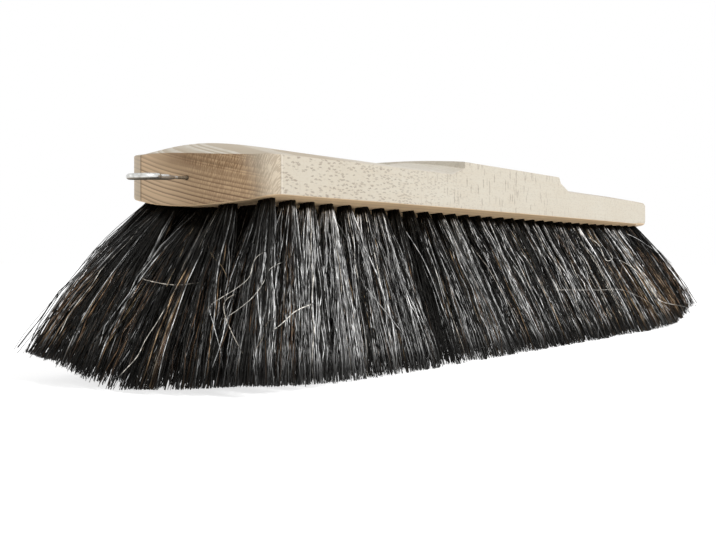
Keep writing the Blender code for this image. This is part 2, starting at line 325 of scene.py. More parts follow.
class Paint(Graph):
    """A material with one Principled shader, and the wires that its finish starts from."""

    def __init__(self, name: str, effects: Effects) -> None:
        """Start the material.

        Args:
            name: The material's name.
            effects: The shared effect groups.
        """
        self.material = bpy.data.materials.new(name)
        self.material.use_nodes = True
        super().__init__(self.material.node_tree)
        self.effects = effects
        self.place = self.node("TexCoord")["Object"]

    def effect(self, group: EffectGroup, **values: object) -> Made:
        """Place an effect group with its own values; "_" stands for a space."""
        feeds = {name.replace("_", " "): value for name, value in values.items()}
        return self.node("Group", feeds, node_tree=group.tree)

    def cloud(self, place: Wire, scale: float, contrast: float) -> Wire:
        """Cloudy variation over the surface."""
        return self.effect(
            self.effects.cloud, Place=place, Scale=scale, Contrast=contrast)["Value"]

    def flecks(self, place: Wire, width: float, share: float) -> Wire:
        """Mask of ray marks."""
        return self.effect(self.effects.flecks, Place=place, Width=width, Share=share)["Mask"]

    def facing(self) -> tuple[Wire, Wire, Wire]:
        """X, Y and Z of the surface's direction."""
        return self.node("NewGeometry")["Normal"].parts()

    def relief(self, height: Wire, strength: float, distance: float) -> Wire:
        """Normal of a bumped surface."""
        feeds = {"Height": height, "Strength": strength, "Distance": distance}
        return self.node("Bump", feeds)["Normal"]

    def finish(self, **values: object) -> bpy.types.Material:
        """Fill the shader's inputs.

        Args:
            values: Source or value of each input; "_" stands for a space.

        Returns:
            The material.
        """
        shader = self.tree.nodes["Principled BSDF"]
        for name, value in values.items():
            self.feed(shader.inputs[name.replace("_", " ")], value)
        return self.material


@dataclass(frozen=True)
class Grain:
    """Wires that every part of the beech finish reads."""

    x: Wire
    y: Wire
    z: Wire
    across: Wire
    up: Wire
    far: Wire
    late: Wire
    tone: Wire


@dataclass(frozen=True)
class BeechFinish:
    """Untreated, sanded beech: cream along the grain, tan with rings across it."""

    side: Colour = (0.675, 0.634, 0.540)
    # Paler colour painted on up-facing faces and risers: painted light from above.
    painted_top_light: Colour = (0.860, 0.812, 0.712)
    side_late: Colour = (0.580, 0.490, 0.370)
    fleck: Colour = (0.260, 0.200, 0.150)
    end: Colour = (0.720, 0.510, 0.310)
    end_late: Colour = (0.150, 0.080, 0.036)
    end_brown: Colour = (0.255, 0.148, 0.068)
    end_ray: Colour = (0.690, 0.490, 0.285)
    end_pale: Colour = (0.640, 0.550, 0.420)
    # Greyer colour for the +Y corner round: painted shade.
    far_round_shade: Colour = (0.640, 0.550, 0.430)
    # Painted highlight and painted shade lines at the arrises.
    arris_highlight: Colour = (0.800, 0.740, 0.640)
    arris_shade: Colour = (0.220, 0.140, 0.080)
    # Underside colour: the sawn wood's tan plus painted bounce light from the floor below, so it is
    # brighter than the wood alone.
    under: Colour = (0.930, 0.665, 0.395)
    bored_tint: Colour = (1.0, 0.93, 0.84)
    end_x: Pair = (0.140, 0.150)
    end_tilt: Pair = (0.05, 0.17)
    level_tilt: Pair = (0.55, 0.75)
    under_tilt: Pair = (-0.30, -0.70)
    under_late: float = 0.14
    pith_y: float = -0.190
    pith_z: float = 0.843
    ring_pitch: float = 0.00140
    ring_waver: float = 0.8
    side_end_x: float = 0.1882
    corner_y: float = 0.022
    corner_run: float = 0.004
    pale_line: Pair = (0.00055, 0.00015)
    pale_line_share: float = 0.45
    dark_line: Pair = (0.0004, 0.0001)
    dark_line_off: float = 0.0007
    dark_line_share: float = 0.22
    round_line: Pair = (0.00036, 0.00014)
    round_tilt: Pair = (0.70, 0.80)
    round_line_share: float = 0.80
    lifted_tilt: Pair = (0.5, 0.8)
    dome_x: Pair = (0.10, 0.20)
    dome_tone: Pair = (0.56, 0.07)
    dome_late: Pair = (1.30, 0.08)
    riser_tilt: Pair = (0.3, 0.6)
    riser_share: float = 0.5
    tan_x: Pair = (-0.060, -0.190)
    tan_share: float = 0.22
    cloud_grain: Place = (0.35, 1.0, 1.0)
    cloud_look: Pair = (70.0, 1.4)
    cloud_share: float = 0.24
    fibre_grain: Place = (22.0, 1000.0, 1000.0)
    fibre_band: Pair = (0.42, 0.72)
    fibre_share: Pair = (0.04, 0.16)
    speckle_grain: Place = (1100.0, 1100.0, 1500.0)
    speckle_band: Pair = (0.46, 0.66)
    speckle_share: float = 0.26
    fleck_stir: float = 0.0013
    fleck_stir_scale: float = 600.0
    short_grain: Place = (350.0, 300.0, 1500.0)
    short_fill: Pair = (0.50, 0.74)
    short_x: Pair = (-0.130, -0.030)
    short_share: Pair = (0.50, 0.18)
    upright_grain: Place = (760.0, 300.0, 190.0)
    upright_fill: Pair = (0.46, 0.34)
    upright_from: Pair = (-0.110, -0.050)
    upright_to: Pair = (0.000, 0.090)
    upright_share: Pair = (0.62, 0.08)
    most_flecks: float = 0.85
    near_y: Pair = (0.010, -0.010)
    foot_z: float = 0.0571
    head_z: float = 0.0696
    crest_y: Pair = (0.020, 0.004)
    crest_height: Pair = (0.62, 1.0)
    crest_share: float = 0.55
    dull_share: Pair = (0.30, 0.62)
    ray_tilt: float = math.radians(-17.0)
    ray_grain: Place = (300.0, 4600.0, 420.0)
    ray_band: Pair = (0.42, 0.60)
    ray_share: Pair = (0.46, 0.05)
    late_tone: float = 0.50
    late_near: Pair = (0.16, 0.26)
    tone_share: float = 0.12
    late_share: float = 0.90
    turned_rise: float = 0.0035
    turned_y: Pair = (0.0195, 0.0295)
    turned_tilt: Pair = (0.60, 0.20)
    turned_share: float = 0.95
    hatch_share: float = 0.34
    beyond_run: float = 0.0006
    beyond_share: float = 0.70
    relief_grain: Place = (90.0, 1800.0, 1800.0)
    relief_late: float = -0.3
    relief_strength: float = 0.25
    relief_depth: float = 0.00012
    roughness: float = 0.62
    rough_look: Pair = (55.0, 1.0)
    rough_range: float = 0.16

    def material(self, name: str, effects: Effects, shade: float = 1.0) -> bpy.types.Material:
        """Build the finish.

        Args:
            name: The material's name.
            effects: The shared effect groups.
            shade: Factor on the colours, below 1 for painted shade inside drilled holes.

        Returns:
            The material.
        """
        paint = Paint(name, effects)
        place = paint.place
        x, y, z = place.parts()
        face_x, _, face_z = paint.facing()
        rings = paint.effect(
            effects.rings, Place=place, Pith_Y=self.pith_y, Pith_Z=self.pith_z,
            Pitch=self.ring_pitch, Waver=self.ring_waver)
        far = abs(x).ease(*self.end_x)
        grain = Grain(x, y, z, abs(face_x), face_z, far, rings["Late"], rings["Tone"])
        wall = 1.0 - abs(face_z).ease(*self.level_tilt)
        share = grain.across.ease(*self.end_tilt) * far * wall
        colour = paint.mix(share, self._side_colour(paint, grain), self._end_colour(paint, grain))
        colour = self._edge_lines(paint, grain, colour)
        # Painted light: down-facing faces take the bright underside colour, the sawn wood's tone
        # brightened as bounce light from the floor.
        bare_and_painted_light = paint.mix(grain.late * self.under_late, self.under, self.end_late)
        colour = paint.mix(face_z.ease(*self.under_tilt), colour, bare_and_painted_light)
        # Painted shade: drilled holes get darker, warmer colours.
        if shade < 1.0:
            tint = tuple(shade * part for part in self.bored_tint)
            colour = paint.mix(1.0, colour, tint, "MULTIPLY")
        fibres = paint.noise(place.scaled(*self.relief_grain), detail=3.0)
        height = grain.late * self.relief_late + fibres
        relief = paint.relief(height, self.relief_strength, self.relief_depth)
        rough = paint.cloud(place, *self.rough_look).line(
            self.rough_range, self.roughness - self.rough_range / 2)
        return paint.finish(Base_Color=colour, Normal=relief, Roughness=rough)

    def _edge_lines(self, paint: Paint, grain: Grain, colour: Wire) -> Wire:
        """Painted highlight and shade lines where the long sides meet the -X corner rounds, and a
        painted shade line by the far round.

        Args:
            paint: The material.
            grain: The wires to read.
            colour: The colour so far.

        Returns:
            The colour with its lines.
        """
        past = grain.x + self.side_end_x
        at_side = abs(grain.y).ease(self.corner_y, self.corner_y + self.corner_run)
        pale = abs(past).ease(*self.pale_line) * at_side
        beside = abs(past + self.dark_line_off).ease(*self.dark_line) * at_side
        by_round = abs(grain.y - self.corner_y).ease(*self.round_line)
        by_round = by_round * grain.across.ease(*self.round_tilt)
        for share, line in (
            (pale * self.pale_line_share, self.arris_highlight),
            (beside * self.dark_line_share, self.arris_shade),
            (by_round * self.round_line_share, self.arris_shade),
        ):
            colour = paint.mix(share, colour, line)
        return colour

    def _side_colour(self, paint: Paint, grain: Grain) -> Wire:
        """Cream surface with faint rings, short ray marks and, mid-block, upright ones; painted
        light makes up-facing faces and the risers paler, as light from above would.

        Args:
            paint: The material.
            grain: The wires to read.

        Returns:
            The colour.
        """
        place = paint.place
        lifted = grain.up.ease(*self.lifted_tilt)
        dome = abs(grain.x).ease(*self.dome_x) * lifted
        riser = (1.0 - grain.far) * grain.across.ease(*self.riser_tilt)
        # Painted light: up-facing faces, and the risers by half, take the paler colour.
        painted_top_light = lifted.at_least(riser * self.riser_share)
        streaks = grain.tone * dome.line(*self.dome_tone) + grain.late * dome.line(*self.dome_late)
        tan = grain.x.ease(*self.tan_x) * self.tan_share
        colour = paint.mix(painted_top_light, paint.mix(tan, self.side, self.side_late), self.painted_top_light)
        cloud = paint.cloud(place.scaled(*self.cloud_grain), *self.cloud_look)
        fibres = paint.noise(place.scaled(*self.fibre_grain), detail=3.0).ease(*self.fibre_band)
        speckle = paint.noise(place.scaled(*self.speckle_grain)).ease(*self.speckle_band)
        for share in (
            streaks.at_most(1.0), cloud * self.cloud_share,
            fibres * painted_top_light.line(*self.fibre_share), speckle * self.speckle_share,
        ):
            colour = paint.mix(share, colour, self.side_late)
        stir = paint.noise(place, self.fleck_stir_scale, output="Color")
        pushed = paint.node(
            "VectorMath", {0: stir, 1: (self.fleck_stir,) * 3, 2: place},
            operation="MULTIPLY_ADD")[0]
        short = paint.flecks(pushed.scaled(*self.short_grain), *self.short_fill)
        upright = paint.flecks(pushed.scaled(*self.upright_grain), *self.upright_fill)
        left = 1.0 - grain.x.ease(*self.short_x)
        middle = grain.x.ease(*self.upright_from) * (1.0 - grain.x.ease(*self.upright_to))
        marks = short * left.line(*self.short_share) + upright * middle.line(*self.upright_share)
        return paint.mix(marks.at_most(self.most_flecks) * (1.0 - painted_top_light), colour, self.fleck)

    def _end_colour(self, paint: Paint, grain: Grain) -> Wire:
        """Tan end grain with dark late-wood lines and fine rays across them, painted darker towards
        -Y as shade.

        Args:
            paint: The material.
            grain: The wires to read.

        Returns:
            The colour.
        """
        # The end face is painted darker towards -Y, more so higher up, as painted shade; the crest
        # term also darkens it near the top on the +Y side.
        near = grain.y.ease(*self.near_y)
        height = grain.z.ease(self.foot_z, self.head_z)
        crest = grain.y.ease(*self.crest_y) * height.ease(*self.crest_height)
        dull = crest * self.crest_share + near * height.line(*self.dull_share)
        dull = dull.at_most(1.0)
        ground = paint.mix(dull, self.end, self.end_brown)
        tilted = paint.node(
            "VectorRotate", {"Vector": paint.place, "Angle": self.ray_tilt},
            rotation_type="X_AXIS")[0]
        lines = paint.noise(tilted.scaled(*self.ray_grain), detail=1.0).ease(*self.ray_band)
        ground = paint.mix(lines * near.line(*self.ray_share), ground, self.end_ray)
        strong = grain.tone * self.late_tone + near.line(*self.late_near)
        lined = (grain.late * strong + grain.tone * self.tone_share).at_most(1.0)
        outer = height * self.turned_rise - grain.y
        turned = outer.ease(*self.turned_y).at_least(grain.across.ease(*self.turned_tilt))
        hatch = (1.0 - lines) * (turned * self.hatch_share)
        # Painted shade: the +Y corner round, turned away from the light, goes greyer.
        beyond = grain.y.ease(self.corner_y, self.corner_y + self.beyond_run)
        colour = paint.mix(lined * self.late_share, ground, self.end_late)
        colour = paint.mix(turned * self.turned_share, colour, self.end_pale)
        colour = paint.mix(hatch, colour, self.end_late)
        return paint.mix(beyond * self.beyond_share, colour, self.far_round_shade)


@dataclass(frozen=True)
class ZincFinish:
    """Bright zinc plate on a bent steel wire, darker on the thread and at the cut end, with painted
    shade and reflection of the wood on its underside.
    """

    bright: Colour = (0.72, 0.72, 0.70)
    dull: Colour = (0.34, 0.34, 0.32)
    dark_wire: Colour = (0.185, 0.145, 0.098)
    cloud_look: Pair = (900.0, 1.6)
    dull_share: float = 0.6
    thread_from: float = -0.2058
    thread_run: float = 0.0012
    cut_x: float = -0.2180
    cut_run: Pair = (0.0014, 0.0008)
    cut_y: float = -0.0035
    cut_rise: Pair = (0.0012, 0.0004)
    below_tilt: Pair = (-0.15, -0.75)
    below_share: float = 0.85
    bare_share: float = 0.95
    drawn_grain: Place = (500.0, 5000.0, 5000.0)
    relief_strength: float = 0.15
    relief_depth: float = 0.00005
    roughness: float = 0.24
    cloud_roughness: float = 0.18
    bare_roughness: float = 0.35

    def material(self, name: str, effects: Effects) -> bpy.types.Material:
        """Build the finish.

        Args:
            name: The material's name.
            effects: The shared effect groups.

        Returns:
            The material.
        """
        paint = Paint(name, effects)
        x, y, _ = paint.place.parts()
        cloud = paint.cloud(paint.place, *self.cloud_look)
        worked = x.ease(self.thread_from, self.thread_from + self.thread_run)
        low, high = (self.cut_y + rise for rise in self.cut_rise)
        sheared = abs(x - self.cut_x).ease(*self.cut_run) * y.ease(low, high)
        # Painted shade and reflection: down-facing wire takes the dark colour, like the shaded
        # underside mirroring the brown wood.
        below = paint.facing()[2].ease(*self.below_tilt) * self.below_share
        bare_and_painted_light = worked.at_least(sheared).at_least(below)
        colour = paint.mix(cloud * self.dull_share, self.bright, self.dull)
        colour = paint.mix(bare_and_painted_light * self.bare_share, colour, self.dark_wire)
        drawn = paint.noise(paint.place.scaled(*self.drawn_grain))
        rough = bare_and_painted_light * self.bare_roughness + cloud.line(self.cloud_roughness, self.roughness)
        return paint.finish(
            Base_Color=colour, Roughness=rough, Metallic=1.0,
            Normal=paint.relief(drawn, self.relief_strength, self.relief_depth))


@dataclass(frozen=True)
class HairFinish:
    """Black horsehair with grey, brown, chestnut and pale hairs, each a little uneven, with painted
    highlights along the hairs and painted shade at roots, ends and tips.
    """

    tone_name: str = "hair_tone"
    along_name: str = "hair_along"
    soot_at: float = 0.30
    pewter_at: float = 0.50
    umber_at: float = 0.58
    chestnut_at: float = 0.76
    gold_at: float = 0.90
    inner_grey_share: float = 0.22
    black: Colour = (0.0066, 0.0062, 0.0052)
    soot: Colour = (0.0200, 0.0190, 0.0168)
    # Pale grey hairs: partly real grey hair, partly painted sheen standing in for highlights on the
    # black hair.
    pewter: Colour = (0.8700, 0.8700, 0.8600)
    umber: Colour = (0.0500, 0.0280, 0.0150)
    chestnut: Colour = (0.2100, 0.1230, 0.0640)
    gold: Colour = (0.4500, 0.3250, 0.1850)
    straw: Colour = (0.9000, 0.8600, 0.7800)
    cloud_look: Pair = (340.0, 2.6)
    cloud_strength: Pair = (0.4, 0.80)
    glint_look: Pair = (1.0, 2.0)
    glint_strength: Pair = (1.45, 0.24)
    patch_look: Pair = (90.0, 2.0)
    patch_share: float = 0.5
    patch_from: float = 0.25
    lit_along: Pair = (0.15, 0.55)
    root_shadow_along: Pair = (0.075, 0.045)
    root_shadow_uneven: float = -0.02
    end_shadow_x: Pair = (0.172, 0.188)
    end_shadow_z: Pair = (0.030, 0.052)
    end_shadow_share: float = 0.80
    tip_shade_along: Pair = (0.87, 0.98)
    tip_shade_uneven: float = 0.06
    tip_shade_share: float = 0.85
    shiny_from: float = 0.6
    roughness: float = 0.34
    rough_range: float = 0.16
    specular_level: float = 0.1
    coat_roughness: float = 0.20
    glints: float = 17.0
    strand_step: float = 700.0

    def stops(self) -> tuple[tuple[float, Colour], ...]:
        """Places on the tone scale and their colours.

        Returns:
            The places and colours in order.
        """
        return (
            (0.0, self.black), (self.soot_at, self.soot), (self.pewter_at, self.pewter),
            (self.umber_at, self.umber), (self.chestnut_at, self.chestnut),
            (self.gold_at, self.gold), (1.0, self.straw),
        )

    def material(self, name: str, effects: Effects) -> bpy.types.Material:
        """Build the finish.

        Args:
            name: The material's name.
            effects: The shared effect groups.

        Returns:
            The material.
        """
        paint = Paint(name, effects)
        tone, along = (
            paint.node("Attribute", attribute_name=title)["Fac"]
            for title in (self.tone_name, self.along_name))
        ramp = paint.node("ValToRGB", {"Fac": tone})
        elements = ramp.node.color_ramp.elements
        for spot, _ in self.stops()[1:-1]:
            elements.new(spot)
        for element, (spot, shade) in zip(elements, self.stops()):
            element.position = spot
            element.color = (*shade, 1.0)
        cloud = paint.cloud(paint.place, *self.cloud_look)
        # Painted highlights: glint noise along each hair brightens and darkens its base colour in
        # streaks, standing in for sparkle; it also sets the coat's weight.
        feeds = {"X": along * self.glints, "Y": tone * self.strand_step}
        glint = paint.cloud(paint.node("CombineXYZ", feeds)[0], *self.glint_look)
        uneven = glint.line(*self.glint_strength) * cloud.line(*self.cloud_strength)
        strength = paint.node("CombineXYZ", dict.fromkeys(range(3), uneven))[0]
        colour = paint.mix(1.0, ramp["Color"], strength, "MULTIPLY")
        patch = paint.cloud(paint.place, *self.patch_look)
        reach = patch * self.patch_share + (along - self.patch_from)
        tinted = tone.ease(self.pewter_at, self.umber_at) * tone.ease(1.0, self.gold_at)
        unlit = (1.0 - reach.ease(*self.lit_along)) * tinted
        # Painted shadow: hair right under the block is turned black, as in the block's shade.
        rooted = (cloud * self.root_shadow_uneven + along).ease(*self.root_shadow_along)
        x, _, z = paint.place.parts()
        # Painted shadow: hair near the roots at both ends of the block is darkened.
        end_shadow = abs(x).ease(*self.end_shadow_x) * z.ease(*self.end_shadow_z)
        # Painted shade: the hair's last part near the floor goes darker.
        tip_shade = (glint * self.tip_shade_uneven + along).ease(*self.tip_shade_along)
        for share in (
            unlit, rooted, end_shadow * self.end_shadow_share, tip_shade * self.tip_shade_share
        ):
            colour = paint.mix(share, colour, self.black)
        shiny = tone.ease(self.soot_at * self.shiny_from, self.pewter_at)
        shiny = shiny * (1.0 - rooted.at_least(tip_shade)) * (1.0 - end_shadow)
        return paint.finish(
            Base_Color=colour, Roughness=cloud.line(self.rough_range, self.roughness),
            Specular_IOR_Level=self.specular_level, Coat_Weight=shiny * glint,
            Coat_Roughness=self.coat_roughness)


def link(name: str, data: bpy.types.ID) -> bpy.types.Object:
    """Put new data into the scene as an object."""
    item = bpy.data.objects.new(name, data)
    bpy.context.scene.collection.objects.link(item)
    return item


def dress(name: str, mesh: bpy.types.Mesh, nodes: tuple[str, ...]) -> None:
    """Make a piece of a mesh: it rides and stands for its CAD nodes.

    Args:
        name: The piece's name.
        mesh: Its finished mesh.
        nodes: CAD nodes that it replaces.
    """
    item = link(name, mesh)
    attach(item, BODY)
    if nodes:
        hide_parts(*nodes)
    LOG.info("%s: %d faces", name, len(mesh.polygons))


def close_mesh(name: str, work: BMesh, smooth: float) -> bpy.types.Mesh:
    """Turn worked faces into a mesh that is smooth but for its sharp edges.

    Args:
        name: The mesh's name.
        work: Its faces.
        smooth: Angle from which an edge is sharp.

    Returns:
        The mesh.
    """
    bmesh.ops.recalc_face_normals(work, faces=work.faces)
    mesh = bpy.data.meshes.new(name)
    work.to_mesh(mesh)
    work.free()
    mesh.shade_smooth()
    mesh.set_sharp_from_angle(angle=smooth)
    return mesh


def smooth_step(share: Array) -> Array:
    """Smooth step from 0 to 1."""
    share = np.clip(share, 0.0, 1.0)
    return share * share * (3.0 - 2.0 * share)


def turns(count: int) -> Array:
    """Angles of a full turn in equal steps."""
    return np.linspace(0, FULL_TURN, count, endpoint=False)


def circle(x: float, y: float, radius: float, count: int) -> list[Vector]:
    """Points of a circle in the plane."""
    return [Vector((x + radius * math.cos(a), y + radius * math.sin(a))) for a in turns(count)]


def skin(work: BMesh, rings: list[list], index: int = 0) -> None:
    """Join closed rings of points with faces.

    Args:
        work: The mesh that takes the faces.
        rings: Rings of the same number of points.
        index: Material of the faces.
    """
    for near, far in zip(rings, rings[1:]):
        for k in range(len(near)):
            m = (k + 1) % len(near)
            work.faces.new((near[k], near[m], far[m], far[k])).material_index = index


def fill_between(
    work: BMesh, outer: list[Vector], holes: list[list[Vector]], inside: list[Vector],
    lift: Callable[[Array, Array], Array]
) -> list[list[Vector]]:
    """Triangulate a flat region with holes and put it in its place.

    Args:
        work: The mesh that takes the faces.
        outer: The region's outline.
        holes: The outlines of its holes.
        inside: More points inside it.
        lift: Gives the places of flat points.

    Returns:
        The holes' outlines in place.
    """
    flat, loops = [], []
    for outline in (outer, *holes):
        loops.append(range(len(flat), len(flat) + len(outline)))
        flat += outline
    flat += inside
    place = [Vector(spot) for spot in lift(*np.array([tuple(spot) for spot in flat]).T)]
    edges = [(loop[k], loop[(k + 1) % len(loop)]) for loop in loops for k in range(len(loop))]
    _, _, faces, origins, _, _ = delaunay_2d_cdt(flat, edges, [], 1, 1e-8)
    member = {k: n for n, loop in enumerate(loops) for k in loop}
    verts: dict[int, bmesh.types.BMVert] = {}
    for face in faces:
        found = [min(origins[k]) for k in face]
        owners = {member.get(k, -1) for k in found}
        if len(owners) == 1 and owners.pop() > 0:
            continue
        for k in found:
            if k not in verts:
                verts[k] = work.verts.new(place[k])
        work.faces.new([verts[k] for k in found])
    return [[place[k] for k in loop] for loop in loops[1:]]


def line_hole(work: BMesh, mouth: list[Vector], floor: list[Vector], steps: int) -> None:
    """Wall and floor of a drilled hole.

    Args:
        work: The mesh that takes the faces.
        mouth: The hole's rim on the surface.
        floor: The rim of its floor.
        steps: Rows of faces down the wall.
    """
    rings = [
        [work.verts.new(a.lerp(b, k / steps)) for a, b in zip(mouth, floor)]
        for k in range(steps + 1)
    ]
    skin(work, rings, index=1)
    work.faces.new(rings[-1]).material_index = 1


@dataclass
class BlockForm:
    """Sizes of the block and the surfaces that follow from them."""

    length: float = 0.400
    width: float = 0.056
    side_bow: float = 0.001
    end_arc: float = 0.0058
    corner_radius: float = 0.006
    drop: float = 0.0571
    side_thickness: float = 0.0125
    crown_places: tuple[float, ...] = (-0.200, -0.188, -0.150, -0.060, 0.060, 0.200)
    side_rises: tuple[float, ...] = (0.0005, 0.0006, 0.0010, 0.0009, 0.0, 0.0)
    crown_rises: tuple[float, ...] = (0.0059, 0.0056, 0.0044, 0.0041, 0.0045, 0.0043)
    crown_power: float = 1.8
    crown_shift: float = 0.004
    crown_end_power: float = 18.0
    crown_overrun: float = 1.06
    rim_wave: float = 0.0007
    wave_run: float = 0.1
    wave_from: float = 0.6
    camber_drop: float = 0.0033
    saddle_height: float = 0.0191
    saddle_crown: float = 0.0012
    saddle_length: float = 0.1094
    riser_height: float = 0.0028
    riser_middle: float = 0.25
    riser_power: float = 1.2
    riser_run: float = 0.0006
    cove_length: float = 0.0118
    arris: float = 0.0006
    worn_arris: float = 0.0024
    worn_from: float = 0.172
    worn_back: float = 0.0024
    worn_run: float = 0.0028
    full_arc: float = 0.0012
    full_radius: float = 0.003

    def __post_init__(self) -> None:
        """Work out the lengths that follow from the sizes."""
        self.half_length = self.length / 2
        self.corner_x = self.half_length - self.end_arc
        self.side_end_x = self.corner_x - self.corner_radius
        self.corner_y = self.width / 2 - self.corner_radius
        self.saddle_half = self.saddle_length / 2

    def arris_at(self, x: Array) -> Array:
        """Radius of the rounded arris, larger at the worn +X end."""
        share = smooth_step((x - self.worn_from) / (self.side_end_x - self.worn_from))
        return self.arris + (self.worn_arris - self.arris) * share

    def half_width(self, x: Array) -> Array:
        """Distance from the centre line to the bowed long side."""
        along = np.minimum(1.0, np.abs(x) / self.side_end_x)
        return self.width / 2 + self.side_bow * (1.0 - along ** 2)

    def end_reach(self, y: Array, x_sign: Array) -> Array:
        """Distance from the middle to the arched end; its +X, -Y quarter is fuller."""
        arc = np.where((x_sign > 0) & (y < 0), self.full_arc, self.end_arc)
        return self.half_length - arc * np.minimum(1.0, np.abs(y) / self.corner_y) ** 2

    def riser_span(self, x: Array) -> tuple[Array, Array]:
        """Where the riser starts and how long it runs; the +X one is worn back."""
        worn = np.asarray(x) > 0
        return self.saddle_half - worn * self.worn_back, np.where(
            worn, self.worn_run, self.riser_run)

    def under(self, y: Array) -> Array:
        """Height of the cambered underside."""
        return self.drop - self.camber_drop * (1.0 - (y / (self.width / 2)) ** 2)

    def _thin(self, x: Array, y: Array) -> Array:
        """Height of the crowned thin ends, as if there were no saddle.

        Args:
            x: Places along the block.
            y: Places across it.

        Returns:
            The heights.
        """
        off = y - self.crown_shift
        leaning = np.abs(off) / (self.half_width(x) - self.crown_shift * np.sign(off))
        along = np.minimum(self.crown_overrun, np.abs(x) / self.end_reach(y, x))
        crown = (1.0 - leaning ** self.crown_power) * (1.0 - along ** self.crown_end_power)
        side, rise = (
            np.interp(x, self.crown_places, rises) for rises in (self.side_rises, self.crown_rises))
        wave = self.rim_wave * np.sin(math.pi * y / (2 * self.corner_y))
        wave = wave * np.clip(-x / self.wave_run - self.wave_from, 0.0, 1.0)
        return self.drop + self.side_thickness + side + rise * crown + wave

    def top(self, x: Array, y: Array) -> Array:
        """Height of the top: saddle, riser, sloping cove and thin ends.

        Args:
            x: Places along the block.
            y: Places across it.

        Returns:
            The heights.
        """
        across = np.abs(y) / self.half_width(x)
        thin = self._thin(x, y)
        saddle = self.drop + self.saddle_height + self.saddle_crown * (1.0 - across ** 2)
        start, run = self.riser_span(x)
        cove_end = self.saddle_half + self.riser_run + self.cove_length
        slope = np.clip((cove_end - np.abs(x)) / (cove_end - start - run), 0.0, 1.0)
        share = self.riser_middle + (1.0 - self.riser_middle) * across ** self.riser_power
        foot = thin + np.maximum(0.0, saddle - self.riser_height * share - thin) * slope
        return saddle + (foot - saddle) * smooth_step((np.abs(x) - start) / run)


